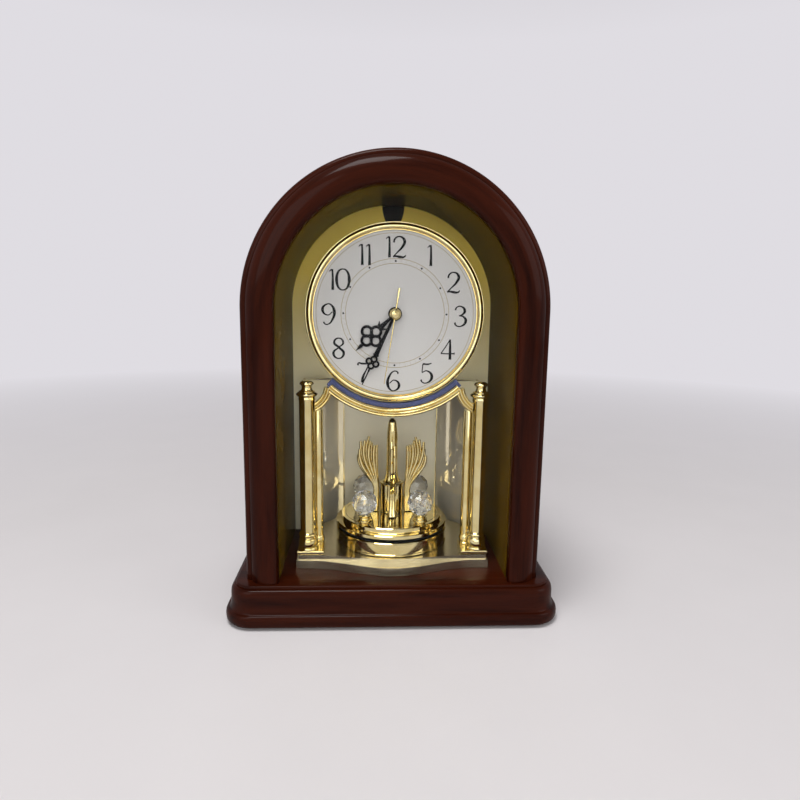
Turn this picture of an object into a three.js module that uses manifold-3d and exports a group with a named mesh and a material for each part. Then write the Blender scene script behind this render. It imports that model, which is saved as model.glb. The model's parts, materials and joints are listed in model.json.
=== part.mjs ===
// An arched mantel clock: a moulded wood case, a round dial and an ornament that turns before mirrors.
// Millimetres, +Z up. The dial faces -Y, and the origin lies on the table under the middle of the base.

import * as THREE from 'three';
import { mergeVertices } from 'three/addons/utils/BufferGeometryUtils.js';
import Module from 'manifold-3d';

const wasm = await Module();
wasm.setup();

// Clearance between pieces that seat in, on or against each other
const FIT = 0.3;

// Facet counts
const ARCH_STEPS = 24;
const CURVE_STEPS = 3;
const CORNER_STEPS = 5;
const RING_STEPS = 32;
const TURNED_STEPS = 12;
const PIN_STEPS = 8;

// Base
const FELT_THICKNESS = 1.2;
const FELT_INSET = 8;
const PLINTH_HEIGHT = 25.5;
const PLINTH_CORNER = 19;
const PLINTH_FOOT_INSET = 2.2;
const PLINTH_NOSE = 8.2;
const PLINTH_NOSE_INSET = 1.8;
const PLINTH_COVE_INSET = 3.6;
const PLINTH_OVOLO = 5.2;
const PLINTH_OVOLO_INSET = 5;
const PLINTH_TOP_INSET = 5.4;
const PLINTH_RISER = 1.9;
const OVERHANG_FRONT = 9;
const OVERHANG_REAR = 11;
const OVERHANG_SIDE = 13.5;

// Arched case
const OPENING_RADIUS = 74;
const LEG_HEIGHT = 173.5;
const FRAME_WIDTH = 21.5;
const FRAME_DEPTH = 26;
const FRAME_REBATE = 3.5;
const SIGHT_ROUND = 3.4;
const FRAME_FACE = 17.2;
const FRAME_FALL = 6;
const FRAME_QUIRK = 1.3;
const FRAME_BEAD_ROUND = 5;
const LINING_THICKNESS = 1.5;
const HOOP_WALL = 16.7;
const GLASS_SETBACK = 6.7;
const GLASS_THICKNESS = 2;
const CHAMBER_DEPTH = 86.3;
const PANEL_THICKNESS = 2;
const KEYSTONE_TOP = 16;
const KEYSTONE_FOOT = 9;
const KEYSTONE_DEPTH = 14;

// Rear cover, door and fasteners
const REAR_GAP = 5.9;
const COVER_THICKNESS = 2.5;
const REAR_LEDGE = 7;
const SCREW_HEAD_RADIUS = 2.6;
const SCREW_HEAD_HEIGHT = 1.4;
const SCREW_SHANK_RADIUS = 1.2;
const SCREW_LENGTH = 9;
const SCREW_FOOT_HEIGHT = 33;
const SCREW_ARC_DEGREES = 50;
const DOOR_WIDTH = 88;
const DOOR_HEIGHT = 92;
const DOOR_CORNER = 9;
const DOOR_GAP = 0.5;
const KNUCKLE_RADIUS = 1.7;
const KNUCKLE_LENGTH = 12;
const HINGE_LEAF = 7;
const HINGE_LEAF_THICKNESS = 1;
const HINGE_PIN_RADIUS = 0.8;
const HINGE_PIN_HEAD = 1.5;
const DOOR_KNOB_RADIUS = 4;
const DOOR_KNOB_HEIGHT = 6;
const DOOR_KNOB_INSET = 9;

// Dial, on a drum that stands out from the back panel
const DIAL_DROP = 2.3;
const DIAL_SETBACK = 28.6;
const BEZEL_RADIUS = 58.8;
const BEZEL_WIDTH = 5.4;
const BEZEL_DEPTH = 3.7;
const BEZEL_LIP = 0.9;
const BEZEL_GROOVE = 1.7;
const BEZEL_RIM = 1.2;
const BEZEL_RIM_DEPTH = 2.6;
const DIAL_THICKNESS = 1.2;
const DRUM_INSET = 8.6;
const DRUM_WALL = 2;
const DRUM_FLANGE = 2;
const PANEL_HOLE_INSET = 4;

// Hands: at rest they stand at the time in degrees clockwise from twelve
const HOUR_LENGTH = 34.5;
const HOUR_FLOWER = 20.6;
const HOUR_LOBE = 3.7;
const MINUTE_LENGTH = 50.5;
const MINUTE_FLOWER = 34.3;
const MINUTE_LOBE = 2.2;
const SECOND_LENGTH = 46.4;
const SECOND_TAIL = 16.7;
const SECOND_WIDTH = 0.8;
const HAND_THICKNESS = 0.8;
const HAND_GAP = 1.1;
const HAND_STEM = 2.6;
const HAND_TIP = 0.7;
const HAND_BOSS_WALL = 1.4;
const LOBE_OUTER_SHARE = 0.95;
const LOBE_INNER_SHARE = 0.55;
const CAP_RADIUS = 3.8;
const CAP_HEIGHT = 2.3;
const HOUR_DEGREES = 226.5;
const MINUTE_DEGREES = 204.6;
const SECOND_DEGREES = 188.5;

// Platform with a serpentine front
const PLATFORM_SIDE_GAP = 9;
const PLATFORM_SETBACK = 14.3;
const PLATFORM_BULGE = 11;
const PLATFORM_LOWER = 5.6;
const PLATFORM_UPPER = 3.1;
const PLATFORM_STEP = 1.8;
const SERPENTINE_STEPS = 16;

// Mirror bay behind the turntable
const BAY_HALF_FRONT = 60.2;
const BAY_HALF_BACK = 36.4;
const BAY_PROUD = 12.8;
const BAY_GAP = 6;
const MIRROR_THICKNESS = 1.5;
const TRAY_WALL = 1.5;
const TRAY_FLANGE = 6;
const TONGUE_GAP = 0.6;

// Columns
const COLUMN_INSET = 7.4;
const COLUMN_SETBACK = 9;
const COLUMN_RADIUS = 5.2;
const COLUMN_HEIGHT = 106.4;
const COLUMN_BASE_HEIGHT = 11;
const COLUMN_BASE_RADIUS = 6.6;
const COLUMN_CAP_RADIUS = 7.1;
const COLUMN_CAP_HEIGHT = 3.3;
const FINIAL_RADIUS = 4.6;
const FINIAL_NECK = 3.3;
const FINIAL_NECK_HEIGHT = 3.2;
const FINIAL_BALL_HEIGHT = 4.1;
const SLIM_RADIUS = 3.4;
const SLIM_BASE_RADIUS = 4.2;
const SLIM_ASIDE = 6.3;
const SLIM_BEHIND = 8;
const SLIM_SHORTER = 10;
const PEDESTAL_HEIGHT = 2.4;
const PEDESTAL_MARGIN = 0.5;

// Yoke and blue collar below the dial
const YOKE_GAP = 2.9;
const YOKE_WIDTH = 6;
const YOKE_DEPTH = 6.5;
const YOKE_RIDGES = 3;
const YOKE_RIDGE_HEIGHT = 0.8;
const YOKE_FALL = 2.4;
const YOKE_STEPS = 14;
const SWAG_SPAN = 9;
const SWAG_DROP = 13;
const SWAG_SAG = 4;
const SWAG_STEPS = 4;
const COLLAR_DEPTH = 6.8;
const COLLAR_TUCK = 3;
const COLLAR_EXTRA_DEGREES = 2;

// Turntable, its drum and its drive
const AXIS_SETBACK = 51.3;
const TABLE_RADIUS = 40;
const TABLE_LOWER = 3;
const TABLE_UPPER = 3.8;
const TABLE_STEP = 3.5;
const TABLE_LIFT = 2.1;
const DRUM_BASE_HEIGHT = 9.6;
const DRUM_BASE_WALL = 4.5;
const DRUM_FLOOR = 1.5;
const SPIGOT_RADIUS = 33;
const SPIGOT_WALL = 1.8;
const DECK_THICKNESS = 1.5;
const DECK_LEDGE = 1.8;
const SHAFT_RADIUS = 2.5;
const SHAFT_COLLAR = 5;
const BEARING_WALL = 2;
const BEARING_HEIGHT = 4;
const TABLE_GEAR_TEETH = 36;
const MOTOR_PINION_TEETH = 9;
const DRIVE_MODULE = 0.8;
const DRIVE_GEAR_THICKNESS = 3;
const MOTOR_RADIUS = 6;
const MOTOR_SHAFT_RADIUS = 0.75;

// Ornament on the turntable
const HUB_RADIUS = 8.2;
const HUB_HEIGHT = 21;
const HUB_LIP = 0.7;
const SPIRE_HEIGHT = 68.6;
const SPIRE_WAIST = 4.1;
const SPIRE_POINT = 1.9;
const SPIRE_FLARE = 19;
const FROND_COUNT = 4;
const FROND_FOOT = 4.2;
const FROND_FOOT_THICKNESS = 2.2;
const FROND_NECK = 2.2;
const FROND_NECK_HEIGHT = 24;
const FROND_THICKNESS = 1.1;
const FROND_STAGGER = 0.4;
const FINGER_WIDTH = 2;
const FINGER_TAPER = 0.7;
const FINGER_STEPS = 4;
const STEM_STEPS = 3;
const BLADE_SIDES = 6;
const CRYSTAL_COUNT = 4;
const CRYSTAL_RADIUS = 9;
const CRYSTAL_ORBIT = 27.4;
const CRYSTAL_SIDES = 8;
const CRYSTAL_ROWS = 4;
const CRYSTAL_SEAT = 3.6;
const CUP_HEIGHT = 4.2;
const CUP_FOOT = 0.8;
const CUP_RIM = 5.2;
const CUP_WAIST = 3.6;

// Quartz movement
const GEAR_ADDENDUM = 0.7;
const GEAR_DEDENDUM = 0.95;
const GEAR_ROOT_SHARE = 0.3;
const GEAR_THICKNESS = 1;
const LAYER_PITCH = 1.8;
const FIRST_LAYER = 0.6;
const ARBOR_RADIUS = 0.5;
const PIVOT_DEPTH = 0.8;
const TRAIN_MODULE = 0.5;
const STEP_MODULE = 0.7;
const MOTION_MODULE = 0.65;
const ROTOR_PINION = 6;
const FIFTH_TEETH = 36;
const FIFTH_PINION = 6;
const SECOND_TEETH = 30;
const SECOND_PINION = 6;
const THIRD_TEETH = 45;
const THIRD_PINION = 6;
const CENTRE_TEETH = 48;
const MINUTE_PINION = 10;
const MINUTE_WHEEL_TEETH = 30;
const MINUTE_WHEEL_PINION = 8;
const HOUR_TEETH = 32;
const SECOND_ARBOR_RADIUS = 0.6;
const PIPE_WALL = 0.8;
const ROTOR_DEGREES = 110;
const ROTOR_MAGNET_RADIUS = 3;
const ROTOR_MAGNET_LENGTH = 2.8;
const STATOR_GAP = 0.7;
const STATOR_WALL = 1.2;
const STATOR_THICKNESS = 1.2;
const COIL_RADIUS = 2.6;
const COIL_LENGTH = 20;
const COIL_CORE = 2;
const COIL_ROOM = 4.5;
const BOARD_WIDTH = 10;
const BOARD_HEIGHT = 19;
const BOARD_THICKNESS = 1;
const MOVEMENT_WALL = 1.5;
const TRAIN_ROOM = 4.9;
const BATTERY_RADIUS = 7.25;
const BATTERY_LENGTH = 50.5;
const BATTERY_NUB_RADIUS = 2.75;
const BATTERY_NUB_LENGTH = 1.2;
const CONTACT_THICKNESS = 0.5;
const CONTACT_WIDTH = 8;
const KNOB_RADIUS = 5;
const KNOB_LENGTH = 5.5;

// Heights worked out from the sizes above
const PLINTH_BOTTOM = FELT_THICKNESS + FIT;
const PLINTH_TOP = PLINTH_BOTTOM + PLINTH_HEIGHT;
const FOOT_Z = PLINTH_TOP + FIT;
const SPRING_Z = PLINTH_TOP + LEG_HEIGHT;
const DIAL_Z = SPRING_Z - DIAL_DROP;

// Radii of the arch
const HOOP_INNER = OPENING_RADIUS + LINING_THICKNESS + FIT;
const HOOP_OUTER = HOOP_INNER + HOOP_WALL;
const ARCH_OUTER = OPENING_RADIUS + FRAME_WIDTH;

// Depths along Y, first from the frame's front and then about the middle of the base
const CHAMBER_FRONT = GLASS_SETBACK + GLASS_THICKNESS;
const PANEL_FRONT = CHAMBER_FRONT + CHAMBER_DEPTH;
const BAY_BACK = CHAMBER_FRONT + AXIS_SETBACK + TABLE_RADIUS + BAY_GAP;
const TRAY_BACK = BAY_BACK + MIRROR_THICKNESS + FIT + TRAY_WALL;
const COVER_FRONT = Math.max(TRAY_BACK, PANEL_FRONT + PANEL_THICKNESS) + REAR_GAP;
const CASE_DEPTH = COVER_FRONT + COVER_THICKNESS + FIT;
const PLINTH_WIDTH = 2 * (ARCH_OUTER + OVERHANG_SIDE);
const PLINTH_DEPTH = CASE_DEPTH + OVERHANG_FRONT + OVERHANG_REAR;
const FRAME_Y = OVERHANG_FRONT - PLINTH_DEPTH / 2;
const GLASS_Y = FRAME_Y + GLASS_SETBACK;
const CHAMBER_Y = FRAME_Y + CHAMBER_FRONT;
const PANEL_Y = FRAME_Y + PANEL_FRONT;
const COVER_Y = FRAME_Y + COVER_FRONT;
const REAR_Y = FRAME_Y + CASE_DEPTH;
const DIAL_Y = CHAMBER_Y + DIAL_SETBACK;
const AXIS_Y = CHAMBER_Y + AXIS_SETBACK;
const BAY_FRONT_Y = PANEL_Y - BAY_PROUD;
const BAY_BACK_Y = FRAME_Y + BAY_BACK;

// Platform and columns
const PLATFORM_HALF = OPENING_RADIUS - PLATFORM_SIDE_GAP;
const PLATFORM_Y = CHAMBER_Y + PLATFORM_SETBACK;
const PLATFORM_TOP = FOOT_Z + PLATFORM_LOWER + PLATFORM_UPPER;
const COLUMN_X = PLATFORM_HALF - COLUMN_INSET;
const COLUMN_Y = PLATFORM_Y + COLUMN_SETBACK;
const COLUMN_FOOT = PLATFORM_TOP + FIT;
const YOKE_END_X = COLUMN_X - COLUMN_RADIUS - FIT;

// Dial drum and mirror bay
const DRUM_OUTER = BEZEL_RADIUS - DRUM_INSET;
const DRUM_INNER = DRUM_OUTER - DRUM_WALL;
const BAY_TOP = DIAL_Z - DRUM_OUTER - FIT;

// Turntable levels
const DRUM_SHOULDER = PLATFORM_TOP + FIT;
const DRUM_TOP = DRUM_SHOULDER + DRUM_BASE_HEIGHT;
const TABLE_BOTTOM = DRUM_TOP + FIT + TABLE_LIFT;
const TABLE_TOP = TABLE_BOTTOM + TABLE_LOWER + TABLE_UPPER;
const SPIGOT_BOTTOM = FOOT_Z + FIT;
const DRUM_FLOOR_TOP = SPIGOT_BOTTOM + DRUM_FLOOR;
const DECK_BOTTOM = DRUM_TOP - DECK_THICKNESS;
const DRIVE_GEAR_TOP = DECK_BOTTOM - 2 * FIT;
const DRIVE_GEAR_BOTTOM = DRIVE_GEAR_TOP - DRIVE_GEAR_THICKNESS;
const DRIVE_DISTANCE = (TABLE_GEAR_TEETH + MOTOR_PINION_TEETH) * DRIVE_MODULE / 2;

// Gear centres: the second and third wheels share one distance, so the centre wheel's module follows from it
const FIFTH_DISTANCE = (FIFTH_PINION + SECOND_TEETH) * STEP_MODULE / 2;
const ROTOR_DISTANCE = (ROTOR_PINION + FIFTH_TEETH) * TRAIN_MODULE / 2;
const THIRD_DISTANCE = (SECOND_PINION + THIRD_TEETH) * TRAIN_MODULE / 2;
const CENTRE_MODULE = 2 * THIRD_DISTANCE / (THIRD_PINION + CENTRE_TEETH);
const MOTION_DISTANCE = (MINUTE_PINION + MINUTE_WHEEL_TEETH) * MOTION_MODULE / 2;
const HOUR_MODULE = 2 * MOTION_DISTANCE / (MINUTE_WHEEL_PINION + HOUR_TEETH);
const ROTOR_ANGLE = THREE.MathUtils.degToRad(ROTOR_DEGREES);
const FIFTH_AXIS = [-FIFTH_DISTANCE, 0];
const ROTOR_AXIS = [
  FIFTH_AXIS[0] + ROTOR_DISTANCE * Math.cos(ROTOR_ANGLE),
  FIFTH_AXIS[1] + ROTOR_DISTANCE * Math.sin(ROTOR_ANGLE),
];
const THIRD_AXIS = [0, THIRD_DISTANCE];
const MINUTE_AXIS = [MOTION_DISTANCE, 0];
const CENTRE_AXIS = [0, 0];

// Movement: depths from the dial's face, widths and heights from the hands' axis
const MOVEMENT_FRONT = DIAL_THICKNESS + FIT;
const TRAIN_FRONT = MOVEMENT_FRONT + MOVEMENT_WALL;
const layer = (number) => TRAIN_FRONT + FIRST_LAYER + number * LAYER_PITCH;
const HOUR_LAYER = layer(0);
const MOTION_LAYER = layer(1);
const CENTRE_LAYER = layer(2);
const THIRD_LAYER = layer(3);
const SECOND_LAYER = layer(4);
const FIFTH_LAYER = layer(5);
const MAGNET_Y = FIFTH_LAYER + GEAR_THICKNESS + FIT;
const TRAIN_BACK = FIFTH_LAYER + GEAR_THICKNESS + TRAIN_ROOM;
const COVER_PLATE_Y = TRAIN_BACK + FIT;
const COVER_PLATE_BACK = COVER_PLATE_Y + MOVEMENT_WALL;
const tipRadius = (teeth, size) => (teeth / 2 + GEAR_ADDENDUM) * size;
const TRAIN_LOWEST = Math.max(
  tipRadius(CENTRE_TEETH, CENTRE_MODULE),
  tipRadius(SECOND_TEETH, STEP_MODULE),
  tipRadius(HOUR_TEETH, HOUR_MODULE),
  tipRadius(MINUTE_WHEEL_TEETH, MOTION_MODULE),
);
const COIL_Z = Math.max(THIRD_DISTANCE, ROTOR_AXIS[1] + ROTOR_MAGNET_RADIUS) + COIL_RADIUS + COIL_ROOM;
const TRAIN_HIGHEST = Math.max(THIRD_DISTANCE + tipRadius(THIRD_TEETH, TRAIN_MODULE), COIL_Z + COIL_RADIUS);
const TRAIN_FLOOR = -TRAIN_LOWEST - 2 * FIT;
const BATTERY_Z = TRAIN_FLOOR - MOVEMENT_WALL - FIT - BATTERY_RADIUS;
const BATTERY_Y = TRAIN_FRONT + FIT + BATTERY_RADIUS;
const MOVEMENT_TOP = TRAIN_HIGHEST + 2 * FIT + MOVEMENT_WALL;
const MOVEMENT_BOTTOM = BATTERY_Z - BATTERY_RADIUS - FIT - MOVEMENT_WALL;
const BAY_HALF_LENGTH = BATTERY_LENGTH / 2 + CONTACT_THICKNESS + 2 * FIT;
const MOVEMENT_HALF = BAY_HALF_LENGTH + MOVEMENT_WALL;
const MINUTE_PIPE_INNER = SECOND_ARBOR_RADIUS + FIT;
const MINUTE_PIPE_OUTER = MINUTE_PIPE_INNER + PIPE_WALL;
const HOUR_PIPE_INNER = MINUTE_PIPE_OUTER + FIT;
const HOUR_PIPE_OUTER = HOUR_PIPE_INNER + PIPE_WALL;
const HAND_HOLE = HOUR_PIPE_OUTER + FIT;
const HOUR_HAND_Y = -HAND_GAP - HAND_THICKNESS;
const MINUTE_HAND_Y = HOUR_HAND_Y - HAND_GAP - HAND_THICKNESS;
const SECOND_HAND_Y = MINUTE_HAND_Y - HAND_GAP - HAND_THICKNESS;

// Finishes
const finish = (color, roughness, metalness, opacity = 1) => new THREE.MeshStandardMaterial({
  color,
  roughness,
  metalness,
  opacity,
  transparent: opacity < 1,
});
const MAHOGANY = finish(0x35170f, 0.35, 0);
const FELT = finish(0x1d2a22, 0.95, 0);
const GOLD = finish(0xd8b35c, 0.15, 1);
const SATIN_GOLD = finish(0xc7b468, 0.4, 0.9);
const OLIVE_GLOSS = finish(0x43370f, 0.15, 0.6);
const SLATE_BLUE = finish(0x4e5488, 0.3, 0.8);
const PALE_DIAL = finish(0xd9d8e2, 0.5, 0);
const BLACK_HAND = finish(0x0c0c0c, 0.4, 0.2);
const SILVERED = finish(0xd5d6da, 0.03, 1);
const DARK_BOARD = finish(0x2a211b, 0.8, 0);
const STEEL = finish(0xb9bcc0, 0.3, 1);
const BRASS = finish(0xc9a54c, 0.3, 1);
const DARK_PLASTIC = finish(0x202022, 0.5, 0);
const GREEN_BOARD = finish(0x1f5a38, 0.5, 0);
const COPPER = finish(0xb5653a, 0.35, 0.9);
const WHITE_PLASTIC = finish(0xe8e6df, 0.5, 0);
const BATTERY_SLEEVE = finish(0x3a3f46, 0.4, 0.3);
const CLEAR = finish(0xf2f7f7, 0.02, 0, 0.2);

// Mesh helpers

function signedVolume(position, index) {
  const a = new THREE.Vector3();
  const b = new THREE.Vector3();
  const c = new THREE.Vector3();
  let volume = 0;
  for (let i = 0; i < index.length; i += 3) {
    a.fromBufferAttribute(position, index[i]);
    b.fromBufferAttribute(position, index[i + 1]);
    c.fromBufferAttribute(position, index[i + 2]);
    volume += a.dot(b.cross(c)) / 6;
  }
  return volume;
}

// Welds shared corners, drops collapsed triangles and turns the faces outwards.
function clean(geometry) {
  const bare = new THREE.BufferGeometry();
  bare.setAttribute('position', geometry.getAttribute('position').clone());
  bare.setIndex(geometry.getIndex());
  const welded = mergeVertices(bare);
  const source = welded.getIndex().array;
  const index = [];
  for (let i = 0; i < source.length; i += 3) {
    const [a, b, c] = source.slice(i, i + 3);
    if (a !== b && b !== c && c !== a) {
      index.push(a, b, c);
    }
  }
  if (signedVolume(welded.getAttribute('position'), index) < 0) {
    index.reverse();
  }
  welded.setIndex(index);
  return welded;
}

function solid(geometry) {
  const closed = clean(geometry);
  return new wasm.Manifold(new wasm.Mesh({
    numProp: 3,
    vertProperties: new Float32Array(closed.getAttribute('position').array),
    triVerts: new Uint32Array(closed.getIndex().array),
  }));
}

function surface(body) {
  const { vertProperties, triVerts } = body.getMesh();
  const geometry = new THREE.BufferGeometry();
  geometry.setAttribute('position', new THREE.BufferAttribute(new Float32Array(vertProperties), 3));
  geometry.setIndex(Array.from(triVerts));
  return geometry;
}

function join(first, ...others) {
  return surface(others.reduce((body, other) => body.add(solid(other)), solid(first)));
}

function cut(first, ...tools) {
  return surface(tools.reduce((body, tool) => body.subtract(solid(tool)), solid(first)));
}

// Triangulates a flat ring in its own direction of travel.
function capTriangles(ring) {
  const normal = new THREE.Vector3();
  ring.forEach((p, i) => {
    const q = ring[(i + 1) % ring.length];
    normal.x += (p.y - q.y) * (p.z + q.z);
    normal.y += (p.z - q.z) * (p.x + q.x);
    normal.z += (p.x - q.x) * (p.y + q.y);
  });
  const size = [Math.abs(normal.x), Math.abs(normal.y), Math.abs(normal.z)];
  const axis = size.indexOf(Math.max(...size));
  const flatten = [
    (p) => new THREE.Vector2(p.y, p.z),
    (p) => new THREE.Vector2(p.z, p.x),
    (p) => new THREE.Vector2(p.x, p.y),
  ][axis];
  const flat = ring.map(flatten);
  const ringArea = THREE.ShapeUtils.area(flat);
  return THREE.ShapeUtils.triangulateShape(flat, []).map((face) => {
    const faceArea = THREE.ShapeUtils.area(face.map((i) => flat[i]));
    return faceArea * ringArea > 0 ? face : face.slice().reverse();
  });
}

// Skins a row of rings with the same number of points, and caps both ends.
function loft(rings) {
  const count = rings[0].length;
  const index = [];
  for (let k = 0; k + 1 < rings.length; k += 1) {
    for (let i = 0; i < count; i += 1) {
      const a = k * count + i;
      const b = k * count + (i + 1) % count;
      index.push(a, b, b + count, a, b + count, a + count);
    }
  }
  const last = (rings.length - 1) * count;
  capTriangles(rings[0]).forEach((face) => index.push(...face.slice().reverse()));
  capTriangles(rings[rings.length - 1]).forEach((face) => index.push(...face.map((i) => last + i)));
  const geometry = new THREE.BufferGeometry();
  geometry.setFromPoints(rings.flat());
  geometry.setIndex(index);
  return geometry;
}

// Sweeps a closed section of radius and depth up one leg, over the arch and down the other leg.
function archSweep(section) {
  const leg = (side) => section.map((p) => new THREE.Vector3(side * p.x, p.y, FOOT_Z));
  const rings = [leg(-1)];
  for (let i = 0; i <= ARCH_STEPS; i += 1) {
    const angle = Math.PI * (1 - i / ARCH_STEPS);
    rings.push(section.map((p) => new THREE.Vector3(
      p.x * Math.cos(angle),
      p.y,
      SPRING_Z + p.x * Math.sin(angle),
    )));
  }
  rings.push(leg(1));
  return loft(rings);
}

// A flat plate whose outline lies in X and Z, from its front face backwards.
function plate(shape, front, thickness, curveSegments = ARCH_STEPS / 2) {
  const geometry = new THREE.ExtrudeGeometry(shape, { depth: thickness, bevelEnabled: false, curveSegments });
  geometry.rotateX(Math.PI / 2);
  return geometry.translate(0, front + thickness, 0);
}

// An upright prism whose outline lies in X and Y.
function prism(shape, bottom, top, curveSegments = RING_STEPS / 2) {
  const depth = top - bottom;
  const geometry = new THREE.ExtrudeGeometry(shape, { depth, bevelEnabled: false, curveSegments });
  return geometry.translate(0, 0, bottom);
}

const points = (pairs) => pairs.map(([x, y]) => new THREE.Vector2(x, y));
const polygon = (pairs) => new THREE.Shape(points(pairs));
const box = (low, high) => new THREE.BoxGeometry(high[0] - low[0], high[1] - low[1], high[2] - low[2])
  .translate((low[0] + high[0]) / 2, (low[1] + high[1]) / 2, (low[2] + high[2]) / 2);

// A profile of radius and depth turned about the Y axis, as dials and gears are.
const turned = (pairs, steps) => new THREE.LatheGeometry(points(pairs), steps);

// A profile of radius and height turned about the Z axis, as columns are.
const upright = (pairs, steps) => turned(pairs, steps).rotateX(Math.PI / 2);
const rod = (radius, front, back, steps = PIN_STEPS) => turned(
  [[0, front], [radius, front], [radius, back], [0, back]],
  steps,
);
const pipe = (inner, outer, front, back, steps) => turned(
  [[inner, front], [outer, front], [outer, back], [inner, back], [inner, front]],
  steps,
);

// Radius and height of a dome, from its rim to its pole.
function dome(radius, from, to) {
  return Array.from({ length: CURVE_STEPS + 1 }, (_, i) => {
    const angle = Math.PI / 2 * i / CURVE_STEPS;
    return [radius * Math.cos(angle), from + (to - from) * Math.sin(angle)];
  });
}

function circlePath(x, y, radius, steps) {
  const path = new THREE.Path();
  for (let i = 0; i < steps; i += 1) {
    const angle = 2 * Math.PI * i / steps;
    const corner = [x + radius * Math.cos(angle), y + radius * Math.sin(angle)];
    if (i === 0) {
      path.moveTo(...corner);
    } else {
      path.lineTo(...corner);
    }
  }
  path.closePath();
  return path;
}

// Corners of a rounded rectangle, anticlockwise, about a centre.
function roundedOutline(centreX, centreY, halfX, halfY, corner) {
  const outline = [];
  [[1, 1], [-1, 1], [-1, -1], [1, -1]].forEach(([sideX, sideY], quarter) => {
    for (let i = 0; i <= CORNER_STEPS; i += 1) {
      const angle = (quarter + i / CORNER_STEPS) * Math.PI / 2;
      const x = centreX + sideX * (halfX - corner) + corner * Math.cos(angle);
      const y = centreY + sideY * (halfY - corner) + corner * Math.sin(angle);
      outline.push(new THREE.Vector2(x, y));
    }
  });
  return outline;
}

function archShape(radius) {
  const shape = new THREE.Shape();
  shape.moveTo(-radius, FOOT_Z);
  shape.lineTo(-radius, SPRING_Z);
  shape.absarc(0, SPRING_Z, radius, Math.PI, 0, true);
  shape.lineTo(radius, FOOT_Z);
  return shape;
}

// A gear of pointed teeth with roomy roots. The phase is the angle of one tooth.
function gearShape(teeth, size, phase, bore = 0) {
  const root = (teeth / 2 - GEAR_DEDENDUM) * size;
  const step = 2 * Math.PI / teeth;
  const corners = [];
  for (let k = 0; k < teeth; k += 1) {
    const angle = phase + k * step;
    const flank = GEAR_ROOT_SHARE * step;
    const tooth = [[root, angle - flank], [tipRadius(teeth, size), angle], [root, angle + flank]];
    tooth.forEach(([radius, turn]) => {
      corners.push([radius * Math.cos(turn), radius * Math.sin(turn)]);
    });
  }
  const shape = polygon(corners);
  if (bore > 0) {
    shape.holes.push(circlePath(0, 0, bore, TURNED_STEPS));
  }
  return shape;
}

const clock = new THREE.Group();

function addTo(group, name, geometry, material) {
  const mesh = new THREE.Mesh(clean(geometry), material);
  mesh.name = name;
  group.add(mesh);
  return mesh;
}

// Base

const roundedRing = (halfX, halfY, corner, z) => roundedOutline(0, 0, halfX, halfY, corner)
  .map((p) => new THREE.Vector3(p.x, p.y, z));

// Inset and height: a round nose, a long cove, a bead and a riser under the flat top.
function plinthProfile() {
  const ovoloTop = PLINTH_HEIGHT - PLINTH_RISER;
  const coveTop = ovoloTop - PLINTH_OVOLO;
  const profile = new THREE.Path();
  profile.moveTo(PLINTH_FOOT_INSET, 0);
  profile.quadraticCurveTo(0, 0, 0, PLINTH_NOSE / 2);
  profile.quadraticCurveTo(0, PLINTH_NOSE, PLINTH_NOSE_INSET, PLINTH_NOSE);
  profile.quadraticCurveTo(PLINTH_COVE_INSET, PLINTH_NOSE, PLINTH_COVE_INSET, coveTop);
  profile.quadraticCurveTo(PLINTH_COVE_INSET, ovoloTop, PLINTH_OVOLO_INSET, ovoloTop);
  profile.lineTo(PLINTH_TOP_INSET, ovoloTop);
  profile.lineTo(PLINTH_TOP_INSET, PLINTH_HEIGHT);
  return profile.getPoints(CURVE_STEPS);
}

function buildBase() {
  const halfX = PLINTH_WIDTH / 2;
  const halfY = PLINTH_DEPTH / 2;
  const rings = plinthProfile().map((p) => roundedRing(
    halfX - p.x,
    halfY - p.x,
    PLINTH_CORNER - p.x,
    PLINTH_BOTTOM + p.y,
  ));
  addTo(clock, 'base_plinth', loft(rings), MAHOGANY);
  const felt = (z) => roundedRing(halfX - FELT_INSET, halfY - FELT_INSET, PLINTH_CORNER - FELT_INSET, z);
  addTo(clock, 'base_felt', loft([felt(0), felt(FELT_THICKNESS)]), FELT);
}

// Arched case

// Radius and depth of the front moulding: a round sight edge, a falling face, a quirk and an outer bead.
function frameSection() {
  const sightBack = GLASS_Y - FIT;
  const faceEnd = OPENING_RADIUS + FRAME_FACE;
  const quirkY = FRAME_Y + FRAME_FALL + FRAME_QUIRK;
  const backY = FRAME_Y + FRAME_DEPTH;
  const section = new THREE.Path();
  section.moveTo(OPENING_RADIUS, sightBack);
  section.lineTo(OPENING_RADIUS, FRAME_Y + SIGHT_ROUND);
  section.quadraticCurveTo(OPENING_RADIUS, FRAME_Y, OPENING_RADIUS + SIGHT_ROUND, FRAME_Y);
  section.quadraticCurveTo(faceEnd - SIGHT_ROUND, FRAME_Y, faceEnd, FRAME_Y + FRAME_FALL);
  section.lineTo(faceEnd, quirkY);
  section.quadraticCurveTo(ARCH_OUTER, quirkY, ARCH_OUTER, quirkY + FRAME_BEAD_ROUND);
  section.lineTo(ARCH_OUTER, backY - FRAME_BEAD_ROUND);
  section.quadraticCurveTo(ARCH_OUTER, backY, HOOP_OUTER, backY);
  section.lineTo(OPENING_RADIUS + FRAME_REBATE, backY);
  section.lineTo(OPENING_RADIUS + FRAME_REBATE, sightBack);
  return section.getPoints(CURVE_STEPS);
}

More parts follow.
